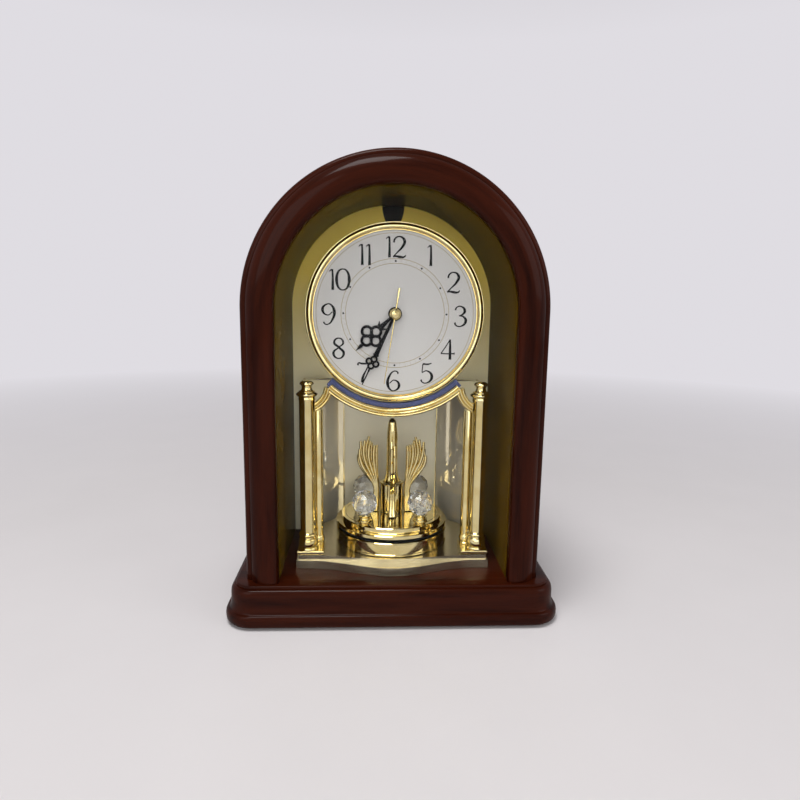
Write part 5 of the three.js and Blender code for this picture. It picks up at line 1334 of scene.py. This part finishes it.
class CLOCK_OT_mirrors(bpy.types.Operator):
    """Sets the three mirrors in their gold tray"""

    bl_idname = "clock.mirrors"
    bl_label = "Mirrors"

    def execute(self, context):
        coats = {"left": "silvered_glass", "centre": "satin_silver", "right": "silvered_glass"}
        for side, coat in coats.items():
            refine("mirror_" + side, "looking_glass_" + side, "case", coat, "silvered", 0.3)
        refine("mirror_tray", "mirror_bay", "case", "polished_gold", "gold", 0.35)
        for name, side in (("left", -1), ("right", 1)):
            self.spandrel("bay_spandrel_" + name, side)
        return {"FINISHED"}

    def spandrel(self, name, side):
        """A corner plate at the top of the bay, cut to a curve behind the yoke's swag."""
        front = low("mirror_tray").y - SPANDREL_PROUD
        top = (high("mirror_tray").z + GAP) / MM
        edge = path(
            [(45.0, top), (65.6, top), (65.6, 128.2)],
            quadratic((61.4, 128.4), (50.8, 130.2), (48.1, 143.0), 10),
        )
        outline = [Vector((side * across, front, up)) for across, up in edge]
        piece = plate(name, outline, Y * SPANDREL_THICK)
        settle(rounded(piece, 0.15 * MM, 2), "case", "satin_gold", "satin_gold")


# Dial and hands

# Digits in units of their height: strokes of x, y and half width
DIGITS = {
    "0": [[(.29, 1, .02), (.05, .5, .055), (.29, 0, .02), (.53, .5, .055)]],
    "1": [
        [(.17, .985, .03), (.18, .5, .038), (.18, 0, .05)],
        [(.04, .86, .012), (.10, .93, .022), (.16, .97, .03)],
    ],
    "2": [
        [(.07, .70, .03), (.09, .84, .03), (.27, .985, .022), (.47, .80, .05), (.40, .52, .042),
         (.20, .24, .022), (.04, .03, .02)],
        [(.04, .03, .02), (.14, .06, .03), (.30, .03, .045), (.46, .03, .03), (.53, .12, .016)],
    ],
    "3": [
        [(.07, .80, .03), (.12, .93, .022), (.27, .99, .022), (.44, .78, .05), (.33, .57, .03),
         (.22, .53, .018)],
        [(.22, .53, .018), (.38, .49, .03), (.49, .28, .052), (.28, .01, .022), (.08, .10, .025),
         (.07, .20, .035)],
    ],
    "4": [
        [(.38, 1, .02), (.2, .62, .018), (.03, .30, .018)],
        [(.03, .30, .02), (.3, .29, .022), (.55, .30, .022)],
        [(.55, .24, .014), (.56, .36, .014)],
        [(.38, 1, .03), (.385, .5, .045), (.39, 0, .05)],
    ],
    "5": [
        [(.12, .97, .03), (.3, .95, .03), (.46, 1, .016)],
        [(.12, .97, .02), (.10, .75, .018), (.09, .53, .018)],
        [(.09, .53, .016), (.28, .62, .022), (.48, .32, .055), (.27, .01, .022), (.08, .08, .022),
         (.06, .18, .035)],
    ],
    "6": [
        [(.46, .86, .03), (.42, .96, .022), (.30, .99, .02), (.10, .70, .04), (.05, .35, .055),
         (.16, .06, .03), (.29, 0, .02), (.50, .27, .05), (.31, .54, .02), (.12, .38, .018)],
    ],
    "7": [
        [(.05, .86, .035), (.06, .97, .02), (.2, .95, .035), (.38, .95, .03), (.52, 1, .016)],
        [(.52, 1, .018), (.36, .6, .025), (.24, .25, .045), (.22, 0, .05)],
    ],
    "8": [
        [(.28, 1, .022), (.10, .80, .04), (.28, .55, .04), (.47, .25, .045), (.28, 0, .022), (.07, .25, .045),
         (.28, .55, .02), (.45, .79, .035)],
    ],
}
# A nine is a six turned by half a turn
DIGITS["9"] = [[(.56 - x, 1 - y, half) for x, y, half in points] for points in DIGITS["6"]]
CLOSED_DIGITS = ("0", "8")
# Half width of the heaviest stroke
HEAVIEST = .055
# From a digit to the next one, in units of their height
ADVANCE = {"1": 0.35}
PLAIN_ADVANCE = 0.72
# How much heavier and broader the digits are than drawn above
WEIGHT = 1.4
BREADTH = 1.27
# How far some numerals stand off the even ring, in millimetres across and up
NUDGES = {
    "1": (0.3, 0.0), "2": (0.3, -1.0), "3": (-0.3, -1.1), "4": (-2.6, -1.3),
    "5": (0.0, -1.3), "6": (-0.4, -0.8), "7": (1.6, -1.2), "8": (1.0, -1.2),
    "9": (0.0, -0.8), "10": (1.2, -0.2), "11": (1.8, -0.1), "12": (0.0, -0.8),
}
# Half widths of the track's circles, its ticks and the dots, and the radius of a dot's ring
LINE_HALF = 0.16 * MM
TICK_HALF = 0.05 * MM
DOT_HALF = 0.34 * MM
DOT_RADIUS = 0.30 * MM


class CLOCK_OT_dial(bpy.types.Operator):
    """Cuts the dial and its ring, and prints the numerals and the minute track"""

    bl_idname = "clock.dial"
    bl_label = "Dial"

    def execute(self, context):
        sizes = context.scene.clock_dial
        radius = high("dial_plate").x / MM
        front = low("dial_plate").y / MM
        back = high("dial_plate").y / MM
        hole = sizes.hole / MM
        disc = path(
            [(hole, back), (hole, front + 0.15), (hole + 0.15, front), (radius - 0.15, front)],
            [(radius, front + 0.15), (radius, back), (hole, back)],
        )
        dial = turned("dial_disc", disc, DIAL_AXIS, Y, 128)
        settle(dial, "case", "dial_card", "pale_dial", "dial_plate")
        ring = turned("gold_bezel", self.bezel(front), DIAL_AXIS, Y, 160, radians(30))
        settle(ring, "case", "polished_gold", "gold", "dial_bezel")
        self.numerals(sizes)
        self.track(sizes)
        return {"FINISHED"}

    def bezel(self, face):
        """Section of the ring: a lip, a full band, a groove and an outer rim."""
        section = path(
            [(53.4, -0.3), (53.4, -1.1), (53.6, -1.35), (53.9, -1.35), (54.05, -1.1)],
            quadratic((54.1, -1.4), (54.4, -3.87), (55.8, -3.87), 8),
            quadratic((55.8, -3.87), (57.4, -3.8), (57.9, -1.9), 10),
            [(58.0, -1.5)],
            quadratic((58.1, -1.6), (58.7, -1.7), (58.8, -1.1), 5),
            [(58.8, -0.3), (53.4, -0.3)],
        )
        return [(radius, face * MM + way) for radius, way in section]

    def numerals(self, sizes):
        """Plain upright numerals as raised print."""
        tall = sizes.numeral_height
        lines = []
        widest = HEAVIEST * WEIGHT * tall
        for hour in range(1, 13):
            text = str(hour)
            angle = tau * hour / 12
            advances = [ADVANCE.get(digit, PLAIN_ADVANCE) * tall for digit in text]
            across, up = NUDGES[text]
            left = sizes.numeral_orbit * sin(angle) - sum(advances) / 2 + across * MM
            foot = DIAL.z + sizes.numeral_orbit * cos(angle) - tall / 2 + up * MM
            for digit, advance in zip(text, advances):
                for points in DIGITS[digit]:
                    knots = [
                        (Vector((left + x * BREADTH * tall, DIAL.y, foot + y * tall)), half * WEIGHT * tall)
                        for x, y, half in points
                    ]
                    lines.append((knots, digit in CLOSED_DIGITS))
                left += advance
        print_work = strokes("numerals", lines, 8, 2)
        flatten(print_work, DIAL.y, 2 * sizes.print_height, widest)
        settle(print_work, "case", "black_ink", "black_hand")

    def track(self, sizes):
        """Fine circles, minute ticks and dots at the hours."""
        fine = []
        for radius in (sizes.track_inner, sizes.track_outer, sizes.rim_line):
            ring = ring_of_points(DIAL, radius, 24, X, Z)
            fine.append(([(place, LINE_HALF) for place in ring], True))
        dots = []
        halfway = (sizes.track_outer + sizes.track_inner) / 2
        for minute in range(60):
            angle = tau * minute / 60
            way = Vector((sin(angle), 0, cos(angle)))
            if minute % 5 == 0:
                ring = ring_of_points(DIAL + way * halfway, DOT_RADIUS, 6, X, Z)
                dots.append(([(place, DOT_HALF) for place in ring], True))
            else:
                ends = (DIAL + way * sizes.track_inner, DIAL + way * sizes.track_outer)
                fine.append(([(place, TICK_HALF) for place in ends], False))
        lines = strokes("track_lines", fine, 8, 1)
        flatten(lines, DIAL.y, sizes.print_height, LINE_HALF)
        settle(lines, "case", "olive_ink", "gold")
        marks = strokes("hour_dots", dots, 3, 2)
        flatten(marks, DIAL.y, 1.6 * sizes.print_height, DOT_HALF)
        settle(marks, "case", "black_ink", "black_hand")


# Radii of the holes in the hands in millimetres, and the settings of each hand
BORES = {"hour": 3.1, "minute": 2.0}
HAND_PARTS = ("turn", "length", "flower", "lobe")
BOSS_WALL = 1.4


class CLOCK_OT_hands(bpy.types.Operator):
    """Makes the pierced hour and minute hands and the slim second hand"""

    bl_idname = "clock.hands"
    bl_label = "Hands"

    def execute(self, context):
        sizes = context.scene.clock_dial
        for body, bore in BORES.items():
            angle, length, flower, lobe = (getattr(sizes, f"{body}_{part}") for part in HAND_PARTS)
            hand = self.pierced(body + "_spade", body + "_hand", angle, length, flower, lobe, bore)
            settle(hand, body, "black_ink", "black_hand", body + "_hand")
        self.second(sizes)
        return {"FINISHED"}

    def clockwise(self, across, up, angle, depth):
        """A place on a hand that points at 12, turned clockwise to its rest."""
        return Vector((
            across * cos(angle) + up * sin(angle), depth, DIAL.z - across * sin(angle) + up * cos(angle),
        ))

    def pierced(self, name, node, angle, length, flower, lobe, bore):
        """A hand with four open rings, barbs at the stem and a thin tip."""
        depth = middle(node).y
        thick = high(node).y - low(node).y

        def at(across, up):
            return self.clockwise(across, up, angle, depth)

        band = lobe * 0.12 + 0.41 * MM
        ring_radius = lobe * 0.75
        lines = []
        for across, up in ((0, flower - lobe), (0, flower + lobe), (-lobe, flower), (lobe, flower)):
            spots = [tau * i / 10 for i in range(10)]
            ring = [(at(across + ring_radius * cos(a), up + ring_radius * sin(a)), band) for a in spots]
            lines.append((ring, True))
        root = flower - lobe - ring_radius
        stem = [
            (at(0, bore * MM + 1.0 * MM), 1.0 * MM), (at(0, root * 0.55), 1.2 * MM),
            (at(0, root - 0.6 * lobe), 1.6 * MM), (at(0, root), 0.9 * MM),
        ]
        lines.append((stem, False))
        for side in (-1, 1):
            barb = [
                (at(side * 0.85 * lobe, root - 0.75 * lobe), 0.22 * MM),
                (at(side * 0.45 * lobe, root - 0.30 * lobe), 0.19 * lobe),
                (at(0, root + 0.05 * lobe), 0.22 * lobe),
            ]
            lines.append((barb, False))
        crown = flower + lobe + ring_radius
        tip = [
            (at(0, crown - 0.1 * lobe), 0.2 * lobe), (at(0, crown + 0.55 * lobe), 0.28 * lobe),
            (at(0, crown + 1.2 * lobe), 0.45 * MM), (at(0, length - 0.3 * MM), 0.3 * MM),
        ]
        lines.append((tip, False))
        heart = [(at(0, flower + way * lobe), 0.22 * lobe) for way in (-0.3, 0.3)]
        lines.append((heart, False))
        web = strokes(name + "_web", lines, 6, 2)
        flatten(web, depth, thick * 0.9, 1.1 * MM)
        half = thick / 2 / MM
        way = depth / MM
        rim = bore + BOSS_WALL
        boss = turned(name + "_boss", path(
            [(bore, way - half), (rim - 0.2, way - half), (rim, way - half + 0.2), (rim, way + half)],
            [(bore, way + half), (bore, way - half)],
        ), DIAL_AXIS, Y, 48)
        return joined(name, web, boss)

    def second(self, sizes):
        """A slim blade with a broader tail and a faceted domed cap."""
        node = "second_hand"
        angle = sizes.second_turn
        back = high(node).y
        depth = back - 0.4 * MM

        def at(up):
            return self.clockwise(0, up, angle, depth)

        blade = strokes("second_blade", [([
            (at(-sizes.second_tail), 0.8 * MM), (at(-sizes.second_tail * 0.8), 0.75 * MM),
            (at(-sizes.second_tail * 0.3), 0.45 * MM), (at(sizes.second_length * 0.5), 0.36 * MM),
            (at(sizes.second_length), 0.22 * MM),
        ], False)], 8, 2)
        flatten(blade, depth, 0.6 * MM, 0.8 * MM)
        face = low(node).y / MM
        edge = back / MM
        cap = turned("second_cap", path(
            [(0, edge), (3.6, edge), (3.8, edge - 0.2), (3.8, edge - 0.6)],
            [(2.4, face + 0.75), (0.5, face + 0.05), (0, face)],
        ), DIAL_AXIS, Y, 10, radians(4))
        hand = joined("second_needle", blade, cap)
        settle(hand, "second", "polished_gold", "gold", "second_hand")


# Turning ornament, with profiles of radius and height in millimetres

class CLOCK_OT_turntable(bpy.types.Operator):
    """Turns the drum base and the turntable with its four cups"""

    bl_idname = "clock.turntable"
    bl_label = "Drum and turntable"

    def execute(self, context):
        sizes = context.scene.clock_ornament
        rim = sizes.table_radius / MM
        shaft = sizes.shaft_radius / MM
        upper = sizes.table_upper / MM
        drum = turned("gold_drum", path(
            [(0, 27.6), (32.7, 27.6), (33, 27.9), (33, 36.3), (rim - 0.4, 36.3), (rim, 36.7), (rim, 37.6)],
            [(rim - 0.35, 37.9), (rim - 0.35, 44.6), (rim, 44.9), (rim, 45.5), (rim - 0.4, 45.9)],
            [(37.75, 45.9), (37.75, 44.1), (35.95, 44.1), (35.95, 37.8), (31.2, 37.8), (31.2, 29.1)],
            [(shaft + 1.8, 29.1), (shaft + 0.3, 29.1), (0, 29.1)],
        ), ORIGIN, Z, 128, TURNED_SMOOTH)
        settle(drum, "case", "polished_gold", "gold", "drum_base")
        table = turned("gold_table", path(
            [(0, 29.4), (shaft, 29.4), (shaft, 46.2), (5, 46.2), (5, 48.3), (rim - 0.4, 48.3), (rim, 48.7)],
            [(rim, 50.6), (rim - 0.5, 51.1), (upper + 0.5, 51.3), (upper, 51.7), (upper, 54.5)],
            [(upper - 0.6, 55.1), (upper - 3.0, 55.1), (upper - 3.3, 54.9), (upper - 3.6, 55.1), (0, 55.1)],
        ), ORIGIN, Z, 128, TURNED_SMOOTH)
        cups = [cup for number, cup in four_round(self.cup(sizes), "cup")]
        settle(joined("gold_turntable", table, *cups), "ornament", "polished_gold", "gold", "turntable")
        return {"FINISHED"}

    def cup(self, sizes):
        """A cup for a crystal."""
        reach = sizes.crystal_orbit * sqrt(0.5)
        place = Vector((reach, reach, 0))
        return turned("cup_1", path(
            [(0, 54.9), (5.0, 54.9), (5.2, 55.2), (5.1, 55.8)],
            quadratic((4.6, 56.2), (3.2, 57.0), (3.9, 57.9), 5),
            quadratic((3.9, 57.9), (4.6, 58.6), (5.2, 59.2), 4),
            [(4.7, 59.3), (3.9, 58.7), (0, 58.5)],
        ), place, Z, 24, TURNED_SMOOTH)


class CLOCK_OT_ornament(bpy.types.Operator):
    """Makes the spire, the four fronds and the four cut crystals"""

    bl_idname = "clock.ornament"
    bl_label = "Spire, fronds and crystals"

    # Fingers from the outermost inwards: reach from the axis and height above the turntable, in millimetres
    FINGERS = (
        ((18.2, 26.8), (22.4, 33.0), (24.0, 37.4), (24.2, 41.5)),
        ((16.6, 29.2), (20.2, 36.4), (22.2, 44.6), (22.6, 51.4)),
        ((14.8, 30.0), (17.6, 37.6), (18.6, 45.4), (16.6, 55.0)),
        ((13.0, 30.4), (14.6, 37.8), (15.0, 44.4), (14.6, 50.4)),
        ((11.0, 30.0), (11.2, 37.6), (11.2, 43.8), (10.8, 48.6)),
    )
    # How far the two layers stand aside in millimetres, with shares of that and of the thickness up a finger
    ASIDE = 0.8
    SPREAD = (1.4, 1.1, 0.9, 1.0, 1.2, 1.3, 1.2)
    HALVES = (1.3, 1.1, 1.05, 1.1, 1.1, 1.05, 0.8)

    def execute(self, context):
        sizes = context.scene.clock_ornament
        foot = low("spire").z
        profile = path(
            [(0, 0), (7.9, 0), (8.2, 0.3), (8.2, 0.9), (7.9, 1.2), (7.9, 1.6), (8.2, 1.9), (8.2, 20.4)],
            [(8.5, 20.7), (8.9, 21.2), (8.9, 21.6), (8.4, 22.0)],
            quadratic((8.4, 22.0), (4.4, 22.6), (4.1, 32.0), 12),
            quadratic((4.1, 32.0), (3.9, 44.0), (3.9, 52.0), 8),
            quadratic((3.9, 52.0), (3.9, 58.0), (3.3, 62.6), 6),
            quadratic((3.3, 62.6), (2.9, 68.4), (0, 68.6), 7),
        )
        lifted = [(radius, foot + height) for radius, height in profile]
        spire = turned("gold_spire", lifted, ORIGIN, Z, 64, radians(32))
        settle(spire, "ornament", "polished_gold", "gold", "spire")
        self.fronds(sizes, foot)
        self.crystals(sizes)
        return {"FINISHED"}

    def fronds(self, sizes, foot):
        """Four sprays of tapering fingers that rise from a splayed foot."""
        lines = []
        thick = sizes.finger_thick
        between = [
            tuple(((a + c) / 2, (b + d) / 2 - 0.6) for (a, b), (c, d) in zip(first, second))
            for first, second in zip(self.FINGERS, self.FINGERS[1:])
        ]
        layers = [(finger, i, -self.ASIDE) for i, finger in enumerate(self.FINGERS)]
        layers += [(finger, i + 0.5, self.ASIDE) for i, finger in enumerate(between)]
        for finger, order, aside in layers:
            share = order / (len(self.FINGERS) - 1)
            root = ((15.4 - 5.0 * share, 0.3), (13.0 - 2.8 * share, 8.0), (12.6 - 2.4 * share, 18.0))
            knots = [
                (Vector((reach * MM, aside * wide * MM, foot + height * MM)), thick * half)
                for (reach, height), wide, half in zip((*root, *finger), self.SPREAD, self.HALVES)
            ]
            lines.append((knots, False))
        frond = strokes("gold_frond_1", lines, 8, 2)
        for number, piece in four_round(frond, "gold_frond"):
            settle(piece, "ornament", "polished_gold", "gold", f"frond_{number}")

    def crystals(self, sizes):
        """Cut balls with flat feet and tops."""
        reach = sizes.crystal_orbit * sqrt(0.5)
        centre = Vector((reach, reach, middle("crystal_1").z))
        deselect()
        radius = sizes.crystal_radius
        bpy.ops.mesh.primitive_ico_sphere_add(subdivisions=2, radius=radius, enter_editmode=True)
        ball = bpy.context.object
        ball.name = "cut_crystal_1"
        select_mesh()
        bpy.ops.transform.translate(value=centre)
        for height, side in ((low("crystal_1").z, "clear_inner"), (high("crystal_1").z, "clear_outer")):
            select_mesh()
            bpy.ops.mesh.bisect(plane_co=(0, 0, height), plane_no=Z, use_fill=True, **{side: True})
        close_up()
        done(ball, radians(2))
        for number, piece in four_round(ball, "cut_crystal"):
            settle(piece, "ornament", "cut_crystal", "crystal", f"crystal_{number}")


# Rear and works

# Half the length and width of a screw's slots, and their depth, in millimetres
SLOT_LONG = 1.5
SLOT_WIDE = 0.28
SLOT_DEEP = 0.9


class CLOCK_OT_rear(bpy.types.Operator):
    """Closes the back with its board, door, pin and cross-slotted screws"""

    bl_idname = "clock.rear"
    bl_label = "Rear"

    def execute(self, context):
        refine("rear_cover", "rear_board_sheet", "case", "rear_board", "dark_board", 0.5, 3)
        refine("rear_door", "rear_hatch", "door", "rear_board", "dark_board", 0.5, 3)
        refine("door_pin", "hinge_pin", "case", "bare_steel", "steel", 0.25)
        for number in (1, 2, 3, 4):
            self.screw(number)
        return {"FINISHED"}

    def screw(self, number):
        """A pan-head screw with a cross slot."""
        node = f"rear_screw_{number}"
        centre = middle(node)
        start = low(node).y / MM
        end = high(node).y / MM
        axis = Vector((centre.x, 0, centre.z))
        body = turned(f"cross_screw_{number}", path(
            [(0, start), (0.7, start), (1.2, start + 1.2), (1.2, end - 1.9)],
            [(2.4, end - 1.9), (2.6, end - 1.6)],
            quadratic((2.6, end - 0.9), (2.4, end - 0.1), (0.9, end), 5),
            [(0, end)],
        ), axis, Y, 32)
        for along, across in ((SLOT_LONG, SLOT_WIDE), (SLOT_WIDE, SLOT_LONG)):
            lowest = axis + Vector((-along, end - SLOT_DEEP, -across)) * MM
            highest = axis + Vector((along, end + 1, across)) * MM
            combine(body, block("slot", lowest, highest), "DIFFERENCE")
        pick(body)
        bpy.ops.object.shade_smooth_by_angle(angle=SMOOTH)
        settle(body, "case", "bare_steel", "steel", node)


# Housings: node, piece, body, finish, slot and width of rounding in millimetres
WORKS = (
    ("movement_case", "quartz_case", "case", "black_plastic", "dark_plastic", 0.3),
    ("movement_cover", "quartz_cover", "case", "black_plastic", "dark_plastic", 0.25),
    ("battery", "cell", "case", "battery_sleeve", "battery_sleeve", 0.5),
    ("drive_motor", "motor_can", "case", "bare_steel", "steel", 0.4),
    ("drum_deck", "drum_lid", "case", "black_plastic", "dark_plastic", 0.2),
    ("dial_drum", "dial_cup", "case", "black_plastic", "dark_plastic", 0.3),
)
INNER_FINISHES = {
    "circuit_board": "green_board",
    "drive_coil": "copper_wire",
    "contact_plus": "bare_steel",
    "contact_minus": "bare_steel",
    "rotor": "bare_steel",
    "fifth_wheel": "white_plastic",
    "third_wheel": "white_plastic",
    "centre_wheel": "plain_brass",
    "second_wheel": "plain_brass",
    "minute_pipe": "plain_brass",
    "minute_wheel": "white_plastic",
    "hour_wheel": "white_plastic",
    "set_knob": "white_plastic",
    "turntable_gear": "white_plastic",
    "motor_pinion": "plain_brass",
}


class CLOCK_OT_works(bpy.types.Operator):
    """Rounds the housings of the works and gives every inner piece its finish"""

    bl_idname = "clock.works"
    bl_label = "Works"

    def execute(self, context):
        for housing in WORKS:
            refine(*housing)
        for node, finish_name in INNER_FINISHES.items():
            dress(node, finish_name)
        return {"FINISHED"}


# Panel and registration

OPERATORS = (
    CLOCK_OT_stage, CLOCK_OT_plinth, CLOCK_OT_arch, CLOCK_OT_glass, CLOCK_OT_lining, CLOCK_OT_platform,
    CLOCK_OT_columns, CLOCK_OT_yoke, CLOCK_OT_mirrors, CLOCK_OT_dial, CLOCK_OT_hands, CLOCK_OT_turntable,
    CLOCK_OT_ornament, CLOCK_OT_rear, CLOCK_OT_works,
)


class CLOCK_PT_pieces(bpy.types.Panel):
    """Lists the clock's pieces and their sizes"""

    bl_idname = "CLOCK_PT_pieces"
    bl_label = "Arched mantel clock"
    bl_space_type = "VIEW_3D"
    bl_region_type = "UI"
    bl_category = "Clock"

    def draw(self, context):
        for operator in OPERATORS:
            self.layout.operator(operator.bl_idname)
        for label, group in GROUPS.items():
            box = self.layout.box()
            for name in group.__annotations__:
                box.prop(getattr(context.scene, label), name)


def register():
    for label, group in GROUPS.items():
        bpy.utils.register_class(group)
        setattr(bpy.types.Scene, label, bpy.props.PointerProperty(type=group))
    for operator in OPERATORS:
        bpy.utils.register_class(operator)
    bpy.utils.register_class(CLOCK_PT_pieces)


def unregister():
    bpy.utils.unregister_class(CLOCK_PT_pieces)
    for operator in reversed(OPERATORS):
        bpy.utils.unregister_class(operator)
    for label, group in reversed(GROUPS.items()):
        delattr(bpy.types.Scene, label)
        bpy.utils.unregister_class(group)


def main():
    """Registers the add-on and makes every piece."""
    register()
    bpy.ops.clock.stage()
    bpy.ops.clock.plinth()
    bpy.ops.clock.arch()
    bpy.ops.clock.glass()
    bpy.ops.clock.lining()
    bpy.ops.clock.platform()
    bpy.ops.clock.columns()
    bpy.ops.clock.yoke()
    bpy.ops.clock.mirrors()
    bpy.ops.clock.dial()
    bpy.ops.clock.hands()
    bpy.ops.clock.turntable()
    bpy.ops.clock.ornament()
    bpy.ops.clock.rear()
    bpy.ops.clock.works()


if __name__ == "__main__":
    main()
